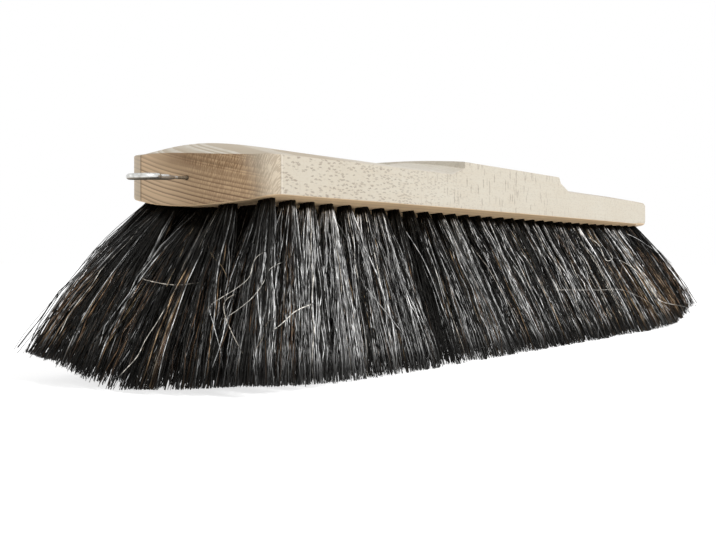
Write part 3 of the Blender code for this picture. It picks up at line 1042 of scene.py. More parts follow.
@dataclass
class Block:
    """The beech block as one fine mesh with rounded arrises and drilled holes."""

    form: BlockForm
    finish: BeechFinish = field(default_factory=BeechFinish)
    bored_shade: float = 0.55
    arris_steps: int = 4
    wall_steps: int = 5
    end_steps: int = 14
    corner_steps: int = 12
    grid_step: float = 0.0026
    end_grid_step: float = 0.0018
    cross_step: float = 0.0031
    cross_rows: int = 8
    edge_clear: float = 0.0012
    riser_steps: int = 13
    cove_steps: int = 6
    riser_clear: float = 0.0007
    least_step: float = 4e-5
    socket_diameter: float = 0.024
    socket_taper: float = 0.001
    socket_slant: float = math.radians(20.0)
    socket_floor: float = 0.0085
    socket_sides: int = 72
    socket_steps: int = 6
    socket_tries: int = 12
    socket_clear: float = 0.001
    hole_diameter: float = 0.0046
    hole_depth: float = 0.0075
    hole_sides: int = 16
    hole_steps: int = 2
    hole_clear: float = 0.0007
    pilot_diameter: float = 0.0016
    pilot_depth: float = 0.004
    pilot_sides: int = 20
    pilot_steps: int = 3
    pilot_height: float = 0.0054
    pilot_off: float = -0.0006
    pilot_zone: float = 0.0034

    def __post_init__(self) -> None:
        """Start the mesh."""
        self.work = bmesh.new()

    def side_stations(self, x_sign: int, last: float) -> Array:
        """Places along half a long side, closer together at the riser.

        Args:
            x_sign: Which half of the block.
            last: Where the side ends.

        Returns:
            Distances from the middle.
        """
        form = self.form
        start, run = (float(value) for value in form.riser_span(np.array(x_sign)))
        riser = start + run * np.linspace(-0.5, 1.5, self.riser_steps)
        cove = form.cove_length * np.linspace(0.30, 1.0, self.cove_steps)
        cove = form.saddle_half + form.riser_run + cove
        plain = np.arange(0.0, last - 0.001, self.grid_step)
        plain = plain[np.abs(plain - riser.mean()) > 1.1 * run + self.riser_clear]
        found = np.unique(np.round(np.concatenate([riser, cove, plain, [last]]), 6))
        return found[np.concatenate([[True], np.diff(found) > self.least_step])]

    def _quarter(self, x_sign: int, y_sign: int) -> Array:
        """Outline of one quarter, from the middle of the end to the middle of the side.

        Args:
            x_sign: Which half of the length.
            y_sign: Which half of the width.

        Returns:
            Its points.
        """
        form = self.form
        radius = form.full_radius if x_sign > 0 > y_sign else form.corner_radius
        corner_y = form.width / 2 - radius
        y = corner_y * np.linspace(0.0, 1.0, self.end_steps + 1)
        reach = form.end_reach(y * y_sign, np.array(x_sign))
        centre_x = float(reach[-1]) - radius
        turn = np.linspace(0.0, QUARTER_TURN, self.corner_steps + 1)[1:]
        corner = np.stack([centre_x + radius * np.cos(turn), corner_y + radius * np.sin(turn)], 1)
        x = self.side_stations(x_sign, centre_x)[::-1][1:]
        side = np.stack([x, form.half_width(x)], 1)
        return np.concatenate([np.stack([reach, y], 1), corner, side]) * (x_sign, y_sign)

    def build(self, tufts: list[Tuft], effects: Effects) -> None:
        """Make the block's mesh and dress it.

        Args:
            tufts: The tufts, whose roots give the drilled holes.
            effects: The shared effect groups.
        """
        outline = np.concatenate([
            self._quarter(1, 1), self._quarter(-1, 1)[-2::-1],
            self._quarter(-1, -1)[1:], self._quarter(1, -1)[-2:0:-1],
        ])
        ahead = np.roll(outline, -1, 0) - np.roll(outline, 1, 0)
        outward = np.stack([ahead[:, 1], -ahead[:, 0]], 1)
        outward /= np.linalg.norm(ahead, axis=1)[:, None]
        inner = outline - outward * self.form.arris_at(outline[:, 0])[:, None]
        self._add_wall(outline, outward, inner)
        rim = [Vector(spot) for spot in inner]
        self._add_top(rim)
        self._add_underside(rim, tufts)
        bmesh.ops.remove_doubles(self.work, verts=self.work.verts, dist=SAME_PLACE)
        mesh = close_mesh("beech_block", self.work, BLOCK_SMOOTH)
        mesh.materials.append(self.finish.material("beech_faces", effects))
        mesh.materials.append(self.finish.material("beech_bored", effects, self.bored_shade))
        dress("beech_block", mesh, ("wood_block",))

    def _add_wall(self, outline: Array, outward: Array, inner: Array) -> None:
        """Side and end faces with rounded arrises, and the screw eye's pilot hole.

        Args:
            outline: Points of the block's outline.
            outward: Direction out of the block at each.
            inner: The same points where the arris meets the top.
        """
        form = self.form
        high = form.top(inner[:, 0], inner[:, 1])
        low = form.under(inner[:, 1])
        turn = np.linspace(0.0, QUARTER_TURN, self.arris_steps + 1)
        wall = np.linspace(0.0, 1.0, self.wall_steps + 1)[1:-1]
        columns = []
        for i, arris in enumerate(form.arris_at(outline[:, 0])):
            foot, head = low[i] + arris, high[i] - arris
            inset = np.concatenate([
                arris * (1 - np.cos(turn[::-1])), np.zeros(len(wall)), arris * (1 - np.cos(turn))])
            height = np.concatenate([
                foot - arris * np.sin(turn[::-1]), foot + (head - foot) * wall,
                head + arris * np.sin(turn)])
            place = outline[i] - outward[i] * inset[:, None]
            columns.append([self.work.verts.new((*xy, z)) for xy, z in zip(place, height)])
        first, last = self.arris_steps, self.arris_steps + self.wall_steps
        zone = (outline[:, 0] < 0) & (np.abs(outline[:, 1]) < self.pilot_zone)
        for i, column in enumerate(columns):
            j = (i + 1) % len(columns)
            beside = columns[j]
            for k in range(len(column) - 1):
                if not (zone[i] and zone[j] and first <= k < last):
                    self.work.faces.new((column[k], beside[k], beside[k + 1], column[k + 1]))
        self._add_pilot([column for column, inside in zip(columns, zone) if inside], first, last)

    def _add_pilot(self, columns: list[list], first: int, last: int) -> None:
        """Fill the end face round the pilot hole and line the hole.

        Args:
            columns: The wall's columns round the hole.
            first: The lowest point of a column on the end face.
            last: The highest one.
        """
        form = self.form
        columns = sorted(columns, key=lambda column: column[first].co.y)
        border = [column[first] for column in columns] + columns[-1][first + 1:last + 1]
        border += [column[last] for column in columns[-2::-1]] + columns[0][last - 1:first:-1]
        ring = circle(
            self.pilot_off, form.drop + self.pilot_height, self.pilot_diameter / 2,
            self.pilot_sides)
        mouth, = fill_between(
            self.work, [Vector((v.co.y, v.co.z)) for v in border], [ring], [],
            lambda y, z: np.stack([-form.end_reach(y, np.array(-1.0)), y, z], 1))
        depth = Vector((self.pilot_depth, 0.0, 0.0))
        line_hole(self.work, mouth, [spot + depth for spot in mouth], self.pilot_steps)

    def _grid(self, stations: Array) -> list[Vector]:
        """Points of a grid that lie well inside the outline.

        Args:
            stations: The grid's places along the block.

        Returns:
            The points.
        """
        form = self.form
        found = []
        for x in stations:
            arris = float(form.arris_at(np.array(x)))
            edge = float(form.half_width(np.array(x))) - arris
            for y in np.arange(-self.cross_rows, self.cross_rows + 1) * self.cross_step:
                reach = float(form.end_reach(np.array(y), np.array(x))) - arris
                in_corner = abs(x) > form.side_end_x and abs(y) > form.corner_y
                clear = min(edge - abs(y), reach - abs(x)) > self.edge_clear
                if clear and not in_corner:
                    found.append(Vector((x, y)))
        return found

    def _add_top(self, rim: list[Vector]) -> None:
        """Top surface with the slanted handle socket.

        Args:
            rim: The surface's outline.
        """
        form = self.form
        mouth, floor = self._socket_loops()
        hole = [spot.to_2d() for spot in mouth]
        clear = self.socket_diameter / 2 / math.cos(self.socket_slant) + self.socket_clear
        centre_y = sum(spot.y for spot in hole) / len(hole)
        ends = np.arange(form.side_end_x + 0.0015, form.half_length, self.end_grid_step)
        minus, plus = (
            np.concatenate([self.side_stations(sign, form.side_end_x), ends]) for sign in (-1, 1))
        grid = self._grid(np.concatenate([-minus[:0:-1], plus]))
        inside = [spot for spot in grid if math.hypot(spot.x, spot.y - centre_y) > clear]
        mouth, = fill_between(
            self.work, rim, [hole], inside, lambda x, y: np.stack([x, y, form.top(x, y)], 1))
        line_hole(self.work, mouth, floor, self.socket_steps)

    def _socket_loops(self) -> tuple[list[Vector], list[Vector]]:
        """Mouth and floor rim of the handle socket.

        Returns:
            Their points.
        """
        form = self.form
        axis = Vector((0.0, -math.sin(self.socket_slant), math.cos(self.socket_slant)))
        side = Vector((1.0, 0.0, 0.0))
        other = axis.cross(side)
        top = form.saddle_height + form.saddle_crown
        depth = (top - self.socket_floor) / math.cos(self.socket_slant)
        middle = Vector((0.0, 0.0, form.drop + (top + self.socket_floor) / 2))
        radius = self.socket_diameter / 2 - self.socket_taper
        mouth, floor = [], []
        for angle in turns(self.socket_sides):
            way = side * math.cos(angle) + other * math.sin(angle)
            travel = depth / 2
            for _ in range(self.socket_tries):
                wide = radius + self.socket_taper * (travel + depth / 2) / depth
                spot = middle + axis * travel + way * wide
                travel += (float(form.top(np.array(spot.x), np.array(spot.y))) - spot.z) / axis.z
            mouth.append(spot)
            floor.append(middle - axis * depth / 2 + way * radius)
        return mouth, floor

    def _add_underside(self, rim: list[Vector], tufts: list[Tuft]) -> None:
        """Cambered underside with one drilled hole for each tuft.

        Args:
            rim: The surface's outline.
            tufts: The tufts.
        """
        form = self.form
        radius = self.hole_diameter / 2
        centres = np.array([(tuft.x, tuft.y) for tuft in tufts])
        stations = np.arange(0.0, form.half_length, self.cross_step)
        grid = self._grid(np.concatenate([-stations[:0:-1], stations]))
        inside = [
            spot for spot in grid
            if np.hypot(*(centres - (spot.x, spot.y)).T).min() > radius + self.hole_clear
        ]
        mouths = fill_between(
            self.work, rim, [circle(*spot, radius, self.hole_sides) for spot in centres], inside,
            lambda x, y: np.stack([x, y, form.under(y)], 1))
        for tuft, mouth in zip(tufts, mouths):
            way = tuft.hole_way() * self.hole_depth
            line_hole(self.work, mouth, [spot + way for spot in mouth], self.hole_steps)


@dataclass
class ScrewEye:
    """Zinc-plated screw eye in the end face, its ring lying level."""

    form: BlockForm
    finish: ZincFinish = field(default_factory=ZincFinish)
    diameter: float = 0.0104
    wire: float = 0.0018
    thread: float = 0.0009
    thread_depth: float = 0.00012
    thread_pitch: float = 0.0007
    thread_shown: float = 0.0060
    thread_steps: int = 7
    thread_sunk: float = 0.3
    straight: float = 0.004
    neck: float = 0.0080
    neck_taper: float = 0.42
    bend: float = 0.0030
    bend_steps: int = 9
    mouth: float = math.radians(42.0)
    depth: float = 0.0038
    height: float = 0.0054
    droop: float = 0.038
    off_centre: float = -0.0006
    sides: int = 20
    ring_steps: int = 72

    def path(self) -> list[tuple[float, float, float, float]]:
        """Centre line of the wire: x, y, radius and how much thread it has.

        Returns:
            Its points.
        """
        ring, core, full = (self.diameter - self.wire) / 2, self.thread / 2, self.wire / 2
        neck_x = -self.form.half_length - self.thread_shown
        bend_x = neck_x - self.neck
        centre_x = bend_x - math.sqrt(ring ** 2 + 2 * ring * self.bend)
        start_x = -self.form.half_length + self.depth
        count = int((start_x - neck_x) / (self.thread_pitch / self.thread_steps))
        spots = [(start_x + (neck_x - start_x) * k / count, 0.0, core, 1.0) for k in range(count)]
        spots += [
            (neck_x - self.neck * self.neck_taper * t, 0.0, core + (full - core) * t, 1.0 - t)
            for t in (0.0, 0.2, 0.4, 0.6, 0.8, 1.0)
        ]
        spots += [
            (bend_x + self.straight * t, 0.0, full, 0.0) for t in (1.0, 0.75, 0.5, 0.25, 0.0)]
        joint = math.asin(self.bend / (ring + self.bend))
        for step in range(1, self.bend_steps):
            angle = (QUARTER_TURN - joint) * step / self.bend_steps
            away = self.bend * math.sin(angle), self.bend * (1.0 - math.cos(angle))
            spots.append((bend_x - away[0], away[1], full, 0.0))
        for step in range(self.ring_steps + 1):
            angle = joint + (FULL_TURN - joint - self.mouth) * step / self.ring_steps
            spots.append((centre_x + ring * math.cos(angle), ring * math.sin(angle), full, 0.0))
        return spots

    def build(self, effects: Effects) -> None:
        """Sweep the wire along its path and dress it.

        Args:
            effects: The shared effect groups.
        """
        spots = self.path()
        work = bmesh.new()
        rings = []
        for i, (x, y, radius, threaded) in enumerate(spots):
            before, after = spots[max(0, i - 1)], spots[min(len(spots) - 1, i + 1)]
            ahead = Vector((after[0] - before[0], after[1] - before[1], 0.0)).normalized()
            side = Vector((-ahead.y, ahead.x, 0.0))
            sag = self.droop * (x + self.form.half_length)
            centre = Vector((x, y + self.off_centre, self.form.drop + self.height + sag))
            ring = []
            for k in range(self.sides):
                angle = FULL_TURN * k / self.sides
                ridge = abs((x / self.thread_pitch - k / self.sides) % 1.0 - 0.5) * 2.0
                reach = radius + threaded * self.thread_depth * (ridge - self.thread_sunk)
                offset = side * (reach * math.cos(angle))
                offset.z += reach * math.sin(angle)
                ring.append(work.verts.new(centre + offset))
            rings.append(ring)
        skin(work, rings)
        work.faces.new(rings[0][::-1])
        work.faces.new(rings[-1])
        mesh = close_mesh("screw_eye", work, WIRE_SMOOTH)
        mesh.materials.append(self.finish.material("zinc_wire", effects))
        dress("screw_eye", mesh, ("hanging_eye",))


@dataclass(frozen=True)
class TipCorner:
    """How hair ends at one corner of the head: its reach and how high it is cut."""

    pull: float
    splay_ratio: float
    lift: float
    lift_power: float


@dataclass
class Tuft:
    """One bunch of hair: its hole in the block and where its middle points."""

    x: float
    y: float
    tip: Pair
    root_z: float
    outer: bool
    along: float
    at_end: bool
    hole_lean: float = 0.6

    def hole_way(self) -> Vector:
        """Direction of the drilled hole into the wood."""
        way = Vector((self.x - self.tip[0], self.y - self.tip[1], self.root_z)).normalized()
        return Vector((way.x * self.hole_lean, way.y * self.hole_lean, 1.0)).normalized()


@dataclass
class HairForm:
    """How hair leaves the block and where its tips stand."""

    block: BlockForm
    row_count: int = 5
    edge_margin: float = 0.009
    pitch: float = 0.0124
    end_margin: float = 0.0082
    sections: int = 10
    end_step: float = 0.0114
    end_zone: float = 0.97
    row_widening: float = 0.12
    side_splay: float = 0.0278
    end_splay: float = 0.0490
    end_splay_power: float = 2.2
    end_lift: float = 0.0006
    tip_x: float = 0.2350
    tip_y: float = 0.0450
    tip_over: float = 0.0012
    bend: float = 0.12
    end_bend: float = 0.210
    parting_x: float = -0.0868
    parting_reach: float = 0.024
    parting_push: float = 0.0090
    comb_x: float = -0.092
    comb_reach: float = 0.030
    comb_lean: float = 0.0130
    root_radius: float = 0.0020
    reach_share: float = 0.58
    spread_out_y: float = 0.0042
    spread_out_x: float = 0.0042
    corners: dict[tuple[bool, bool], TipCorner] = field(default_factory=lambda: {
        (False, False): TipCorner(0.07, 0.90, 0.0026, 2.0),
        (False, True): TipCorner(0.265, 0.61, 0.0120, 0.9),
        (True, False): TipCorner(0.20, 0.86, 0.0108, 2.6),
        (True, True): TipCorner(0.10, 0.88, 0.0090, 1.5),
    })

    def __post_init__(self) -> None:
        """Work out where the last tufts and the outer rows stand."""
        self.last_x = self.block.corner_x - self.end_margin
        self.outer_y = self.block.width / 2 - self.edge_margin

    def sections_of(self, row: int) -> list[list[float]]:
        """Places of one row's tufts, by the bar that each stands on.

        Every second row sits half a pitch over, and has one more tuft near each end.

        Args:
            row: Index of the row.

        Returns:
            Places along the block for each bar.
        """
        steps = 2 * round(self.last_x / self.pitch)
        step = 2 * self.last_x / steps
        count = steps + 1 - row % 2
        places = [step * (i - (count - 1) / 2) for i in range(count)]
        cuts = [round(count * part / self.sections) for part in range(self.sections + 1)]
        found = [places[first:last] for first, last in zip(cuts, cuts[1:])]
        if row % 2:
            found[0].insert(0, places[0] - self.end_step)
            found[-1].append(places[-1] + self.end_step)
        return found

    def tufts(self) -> list[list[list[Tuft]]]:
        """Tufts of each row and bar.

        Returns:
            The tufts, in order along the block.
        """
        rows = [self.outer_y * (2 * r / (self.row_count - 1) - 1) for r in range(self.row_count)]
        return [
            [[self.tuft(x, y) for x in places] for places in self.sections_of(row)]
            for row, y in enumerate(rows)
        ]

    def tuft(self, x: float, row_y: float) -> Tuft:
        """One tuft; its row widens a little towards the ends.

        Args:
            x: Its place along the block.
            row_y: Its row's place across mid-block.

        Returns:
            The tuft.
        """
        along = min(1.0, abs(x) / self.last_x)
        y = row_y * (1.0 + self.row_widening * along ** 3)
        root_z = float(self.block.under(np.array(y)))
        outer = abs(row_y) > 0.9 * self.outer_y
        at_end = abs(x) > self.end_zone * self.last_x
        return Tuft(x, y, self.tip(x, row_y), root_z, outer, along, at_end)

    def tip(self, x: float, y: float) -> Pair:
        """Where hair from the middle of a tuft ends, seen from above.

        Args:
            x: The tuft's place along the block.
            y: Its row's place across mid-block.

        Returns:
            The end's x and y.
        """
        corner = self.corners[x > 0, y > 0]
        along = min(1.0, abs(x) / self.last_x)
        across = min(1.0, abs(y) / self.outer_y)
        out = self.end_splay * along ** self.end_splay_power
        out *= 1.0 - corner.pull * across ** 2 * along ** 4
        side = self.side_splay * (1.0 - (1.0 - corner.splay_ratio) * along ** 4)
        off = x - self.parting_x
        parted = self.parting_push * max(0.0, 1.0 - abs(off) / self.parting_reach)
        if abs(off) <= SAME_SPOT:
            parted = 0.0
        combed = self.comb_lean * math.exp(-((x - self.comb_x) / self.comb_reach) ** 2)
        near = min(1.0, max(0.0, 0.5 - y / self.outer_y))
        reach = math.copysign(min(abs(x) + out, self.tip_x + self.tip_over), x)
        return reach + near * (math.copysign(parted, off) - combed), y + y / self.outer_y * side

    def lift(self, x: float, tip: Array) -> Array:
        """How far over the floor hair is cut, by the end it belongs to and where it ends.

        Args:
            x: The tuft's place along the block.
            tip: Ends of its hairs.

        Returns:
            The heights.
        """
        along = np.minimum(1.03, np.abs(tip[:, 0]) / self.tip_x)
        across = np.minimum(1.1, np.abs(tip[:, 1]) / self.tip_y)
        near, far = (
            corner.lift * across ** corner.lift_power
            for corner in (self.corners[x > 0, side] for side in (False, True)))
        return (self.end_lift + np.where(tip[:, 1] > 0, far, near)) * along ** 8


def smooth_curve(points: Array, steps: int) -> Array:
    """Points of a smooth curve through some others.

    Args:
        points: The points that it passes.
        steps: How many points it has.

    Returns:
        The curve's points.
    """
    knots = np.concatenate([2 * points[:1] - points[1:2], points, 2 * points[-1:] - points[-2:-1]])
    place = np.linspace(1, len(points) - 1e-6, steps)
    part, share = place.astype(int), (place % 1.0)[:, None]
    before, near, far, after = (knots[part + k] for k in (-1, 0, 1, 2))
    return 0.5 * (
        2 * near + (far - before) * share + (2 * before - 5 * near + 4 * far - after) * share ** 2
        + (3 * near - before - 3 * far + after) * share ** 3
    )


@dataclass(frozen=True)
class LooseKind:
    """How random loose hairs lie: their length, sway and distance, and their tones."""

    length: Pair
    sway: Pair
    reach: Pair
    tones: tuple[float, ...]


@dataclass
class HairMass:
    """All the hair, one piece for each CAD bar, made in one seeded pass."""

    form: HairForm
    finish: HairFinish = field(default_factory=HairFinish)
    seed: int = 20
    hairs_per_tuft: int = 150
    end_share: float = 0.55
    hair_radius: float = 0.000152
    light_girth: float = 1.20
    dark_girth: float = 0.95
    far_girth: float = 0.55
    stray_girth: float = 0.70
    tip_taper: float = 0.72
    sides: int = 3
    levels: int = 12
    stray_levels: int = 26
    limit_x: float = 0.2396
    limit_y: float = 0.0506
    sunk: float = 0.0015
    gather: float = 0.46
    gather_range: Pair = (0.5, 1.3)
    lock_counts: tuple[int, int] = (7, 11)
    disc_power: float = 0.45
    cut_size: float = 0.004
    lock_cut: float = 0.003
    bow_size: float = 0.35
    short_share: float = 0.07
    short_cut: float = 0.22
    loose_share: float = 0.16
    loose_reach: float = 0.0050
    close_reach: float = 0.0013
    lock_reach: float = 0.0015
    free_lean: Pair = (0.0030, 0.0006)
    held_lean: Pair = (0.0012, 0.0006)
    wild_share: float = 0.06
    wild_swing: float = 4.0
    swing_size: float = 0.00040
    swing_turns: Pair = (0.5, 1.6)
    crimp_size: float = 0.00042
    crimp_turns: Pair = (10, 26)
    thick_range: Pair = (0.6, 1.4)
    flyaways: int = 90
    end_flyaways: int = 80
    side_kind: LooseKind = LooseKind(
        (0.75, 0.99), (0.008, 0.0028), (0.0022, 0.0057), (0.1, 0.36, 0.44, 0.5, 0.72, 0.86, 0.97))
    end_kind: LooseKind = LooseKind(
        (0.62, 0.93), (0.002, 0.0010), (0.0008, 0.0040), (0.1, 0.2, 0.32, 0.44))
    dark_from: float = 0.178
    # Share of grey hairs in the outer rows along the block; it falls to nothing at the parting as
    # painted shade in its gap.
    grey_places: tuple[float, ...] = (
        -0.186, -0.174, -0.160, -0.112, -0.099, -0.087, -0.074, 0.020, 0.110, 0.186)
    grey_shares: tuple[float, ...] = (
        0.74, 0.42, 0.74, 0.56, 0.02, 0.00, 0.50, 0.16, 0.19, 0.14)
    brown_places: tuple[float, ...] = (-0.190, -0.160, 0.050, 0.110, 0.190)
    brown_shares: tuple[float, ...] = (0.10, 0.03, 0.04, 0.11, 0.18)
    most_grey: float = 0.74
    outer_uneven: tuple[float, ...] = (0.3, 1.0, 1.6)
    inner_uneven: tuple[float, ...] = (0.6, 1.0, 1.3)
    light_power: float = 0.60
    dark_power: float = 2.9
    brown_locks: float = 0.18
    brown_more: float = 4.0
    brown_less: float = 0.8
    brown_power: float = 1.9
    pale_share: float = 0.012

    def __post_init__(self) -> None:
        """Start the seeded source of variation."""
        self.rng = np.random.default_rng(self.seed)

    def build(self, rows: list[list[list[Tuft]]], effects: Effects) -> None:
        """Grow the hair and dress each piece.

        Args:
            rows: The tufts of each row and bar.
            effects: The shared effect groups.
        """
        material = self.finish.material("horsehair_strands", effects)
        for row, bars in enumerate(rows, 1):
            for part, tufts in enumerate(bars, 1):
                grown = [self._grow(tuft) for tuft in tufts]
                lines, tones = (np.concatenate(found) for found in zip(*grown))
                mesh = self._strand_mesh(f"hair_{row}_{part:02d}", lines, tones)
                mesh.materials.append(material)
                dress(mesh.name, mesh, (f"hair_row_{row}_bar_{part:02d}",))
        lines, tones = self._strays([tuft for bars in rows for bar in bars for tuft in bar])
        mesh = self._strand_mesh("hair_strays", lines, tones, self.stray_girth)
        mesh.materials.append(material)
        dress(mesh.name, mesh, ())

    def _keep_in(self, points: Array) -> Array:
        """Points held inside the CAD's box."""
        low = (-self.limit_x, -self.limit_y, self.hair_radius)
        high = (self.limit_x, self.limit_y, math.inf)
        return np.clip(points, low[:points.shape[-1]], high[:points.shape[-1]])

    def _strays(self, tufts: list[Tuft]) -> tuple[Array, Array]:
        """Single loose hairs that lie over the tufts, each rooted among them.

        Args:
            tufts: All tufts; random loose hairs start from the outermost.

        Returns:
            Points (hairs, levels, 3) and one tone for each hair.
        """
        lines, tones = [], []
        for tone, *spots in STRAY_HAIRS:
            points = np.array(spots, float) * STRAY_UNIT
            inward = (0.0, 0.006, 0.0) if points[0][0] > -0.2 else (0.006, 0.0, 0.0)
            root = points[0] + 0.6 * (points[0] - points[1]) + inward
            lines.append(smooth_curve(np.concatenate([root[None], points]), self.stray_levels))
            tones.append(tone)
        outermost = [tuft for tuft in tufts if tuft.outer and tuft.y < 0 or tuft.at_end]
        ends = [tuft for tuft in outermost if tuft.at_end and (tuft.x < 0 or tuft.y < 0)]
        for among in [outermost] * self.flyaways + [ends] * self.end_flyaways:
            line, tone = self._flyaway(among[int(self.rng.integers(len(among)))])
            lines.append(line)
            tones.append(tone)
        return self._keep_in(np.array(lines)), np.array(tones)

    def _flyaway(self, tuft: Tuft) -> tuple[Array, float]:
        """One random loose hair that stands off its tuft.

        Args:
            tuft: The tuft.

        Returns:
            Its points and its tone.
        """
        rng = self.rng
        kind = self.end_kind if tuft.at_end else self.side_kind
        t = np.linspace(0.0, 1.0, self.stray_levels)
        root = np.array([tuft.x, tuft.y, tuft.root_z])
        tip = np.array([*tuft.tip, 0.001])
        out = (tip - root) * (1.0, 1.0, 0.0)
        out /= np.linalg.norm(out)
        aside = np.array([-out[1], out[0], 0.0])
        length = rng.uniform(*kind.length)
        drift, swing = (rng.normal(0, size) for size in kind.sway)
        wave = drift * t ** 1.5 + swing * np.sin(rng.uniform(1.5, 4.5) * t)
        clear = rng.uniform(*kind.reach) * (
            t ** 0.8 * (1.4 - t) / 0.45 if tuft.at_end else np.minimum(1.0, t * 2.5))
        line = root + (tip - root) * (t * length)[:, None]
        line += out * clear[:, None] + aside * wave[:, None]
        return line, float(rng.choice(kind.tones))

    def _grow(self, tuft: Tuft) -> tuple[Array, Array]:
        """Centre lines and tones of one tuft's hairs.

        Args:
            tuft: The tuft.

        Returns:
            Points (hairs, levels, 3) and one tone for each hair.
        """
        form, rng, along = self.form, self.rng, tuft.along
        count = round(self.hairs_per_tuft * (1.0 + self.end_share * along ** 4))
        spot = self._disc(count)
        locks = self._disc(int(rng.integers(*self.lock_counts)))
        own = np.argmin(((spot[:, None] - locks[None]) ** 2).sum(2), axis=1)
        drawn = rng.uniform(*self.gather_range, (count, 1))
        pulled = spot + (locks[own] - spot) * self.gather * drawn
        root = (tuft.x, tuft.y) + form.root_radius * (1.0 + 0.2 * along ** 8) * spot
        root_z = form.block.under(root[:, 1]) + self.sunk
        tip = self._tips(tuft, pulled, own, len(locks))
        tip_z = form.lift(tuft.x, tip)
        level = np.linspace(0.0, 1.0, self.levels)
        short = rng.random(count) < self.short_share
        cut = 1.0 - rng.exponential(self.cut_size, count)
        cut -= np.where(short, rng.random(count) * self.short_cut, 0)
        cut -= np.abs(rng.normal(0, self.lock_cut, len(locks)))[own]
        t = level[None, :] * cut[:, None]
        bow = form.bend + form.end_bend * along ** 8
        bow = bow * (1.0 + rng.normal(0, self.bow_size, count))
        travel = t * (1.0 + bow[:, None] * (1.0 - level))
        line = np.empty((count, self.levels, 3))
        line[..., :2] = root[:, None] + (tip - root)[:, None] * travel[..., None]
        line[..., 2] = root_z[:, None] + (tip_z - root_z)[:, None] * t
        line[..., :2] += self._waver(count, t)
        return self._keep_in(line), self._tones(tuft, own, len(locks))

    def _disc(self, count: int) -> Array:
        """Points spread over a disc of radius 1, a little denser to its rim."""
        angle = self.rng.uniform(0, FULL_TURN, count)
        reach = self.rng.uniform(0, 1, count) ** self.disc_power
        return np.stack([reach * np.cos(angle), reach * np.sin(angle)], 1)

    def _tips(self, tuft: Tuft, spot: Array, own: Array, locks: int) -> Array:
        """Where each hair ends, seen from above.

        Args:
            tuft: The tuft.
            spot: Each hair's place in it, on a disc of radius 1.
            own: Each hair's lock.
            locks: How many locks there are.

        Returns:
            The ends.
        """
        form, rng, along = self.form, self.rng, tuft.along
        power = form.end_splay_power
        grown = 1.0 + form.end_splay * power * along ** (power - 1) / form.last_x
        share_x = form.pitch * grown * form.reach_share
        row_pitch = 2 * form.outer_y / (form.row_count - 1)
        share_y = row_pitch * (1.0 + form.side_splay / form.outer_y) * form.reach_share
        out_x = form.spread_out_x + (share_x - form.spread_out_x) * (1.0 - along ** 12)
        out_y = form.spread_out_y if tuft.outer else share_y
        outside = spot * np.sign((tuft.x, tuft.y)) > 0
        reach = np.where(outside, (out_x, out_y), (share_x, share_y))
        squared = np.linalg.norm(spot, axis=1) / np.abs(spot).max(axis=1)
        spot = spot * squared[:, None] ** 0.8
        loose = self.loose_reach * (1.0 - 0.25 * along ** 8)
        apart = np.where(rng.random(len(spot)) < self.loose_share, loose, self.close_reach)
        stray = rng.normal(0, self.lock_reach, (locks, 2))[own]
        stray += rng.normal(0, 1, (len(spot), 2)) * apart[:, None]
        free = tuft.outer and along < 0.9
        lean = rng.normal(0, 1, 2) * (self.free_lean if free else self.held_lean)
        return self._keep_in(np.array(tuft.tip) + lean + spot * reach + stray)

    def _waver(self, count: int, t: Array) -> Array:
        """Gentle swing and fine crimp of each hair, none at its root.

        Args:
            count: How many hairs.
            t: Share of the way from root to tip (hairs, levels).

        Returns:
            Moves in x and y (hairs, levels, 2).
        """
        rng = self.rng
        wave = np.zeros((*t.shape, 2))
        loose = np.where(rng.random(count) < self.wild_share, self.wild_swing, 1.0)
        for axis in (0, 1):
            size = rng.normal(0, self.swing_size, count) * loose
            phase = rng.uniform(0, FULL_TURN, count)
            turn = rng.uniform(*self.swing_turns, count) * math.pi
            swing = np.sin(phase[:, None] + turn[:, None] * t) - np.sin(phase)[:, None]
            crimped = rng.normal(0, self.crimp_size, count)
            start = rng.uniform(0, FULL_TURN, count)
            crimp = rng.uniform(*self.crimp_turns, count)[:, None] * t
            crimp = np.sin(start[:, None] + crimp)
            wave[..., axis] = size[:, None] * swing * t
            wave[..., axis] += crimped[:, None] * crimp * np.minimum(1.0, t * 5)
        return wave

    def _tones(self, tuft: Tuft, own: Array, locks: int) -> Array:
        """Place of each hair on the tone scale, coloured hair mostly in its own locks.

        Args:
            tuft: The tuft.
            own: Each hair's lock.
            locks: How many locks there are.

        Returns:
            The tones.
        """
        finish, rng, count = self.finish, self.rng, len(own)
        if tuft.outer:
            grey_share = float(np.interp(tuft.x, self.grey_places, self.grey_shares))
            uneven = self.outer_uneven
            power = self.light_power if tuft.x > -self.dark_from else self.dark_power
        else:
            # Painted shade: inner rows get fewer grey hairs, and none at the parting, so they read
            # dark like shaded hair.
            off = (tuft.x - self.form.parting_x) / self.form.parting_reach
            grey_share = finish.inner_grey_share * (1.0 + 0.5 * tuft.along ** 8)
            grey_share *= min(1.0, off ** 2)
            uneven, power = self.inner_uneven, self.dark_power
        grey_share = np.minimum(grey_share * rng.choice(uneven, locks)[own], self.most_grey)
        tone = rng.uniform(0.0, finish.soot_at, count)
        grey = rng.random(count) < grey_share
        paler = finish.soot_at + (finish.pewter_at - finish.soot_at) * rng.random(count) ** power
        tone = np.where(grey, paler, tone)
        chance = float(np.interp(tuft.x, self.brown_places, self.brown_shares))
        chosen = rng.random(locks) < self.brown_locks
        chance = chance * np.where(chosen, self.brown_more, self.brown_less)[own]
        coloured = rng.random(count) < chance
        brown = rng.random(count) ** self.brown_power
        brown = finish.umber_at + (finish.gold_at - finish.umber_at) * brown
        tone = np.where(coloured, brown, tone)
        pale = rng.random(count) < self.pale_share
        return np.where(pale, rng.uniform(finish.gold_at, 1.0, count), tone)

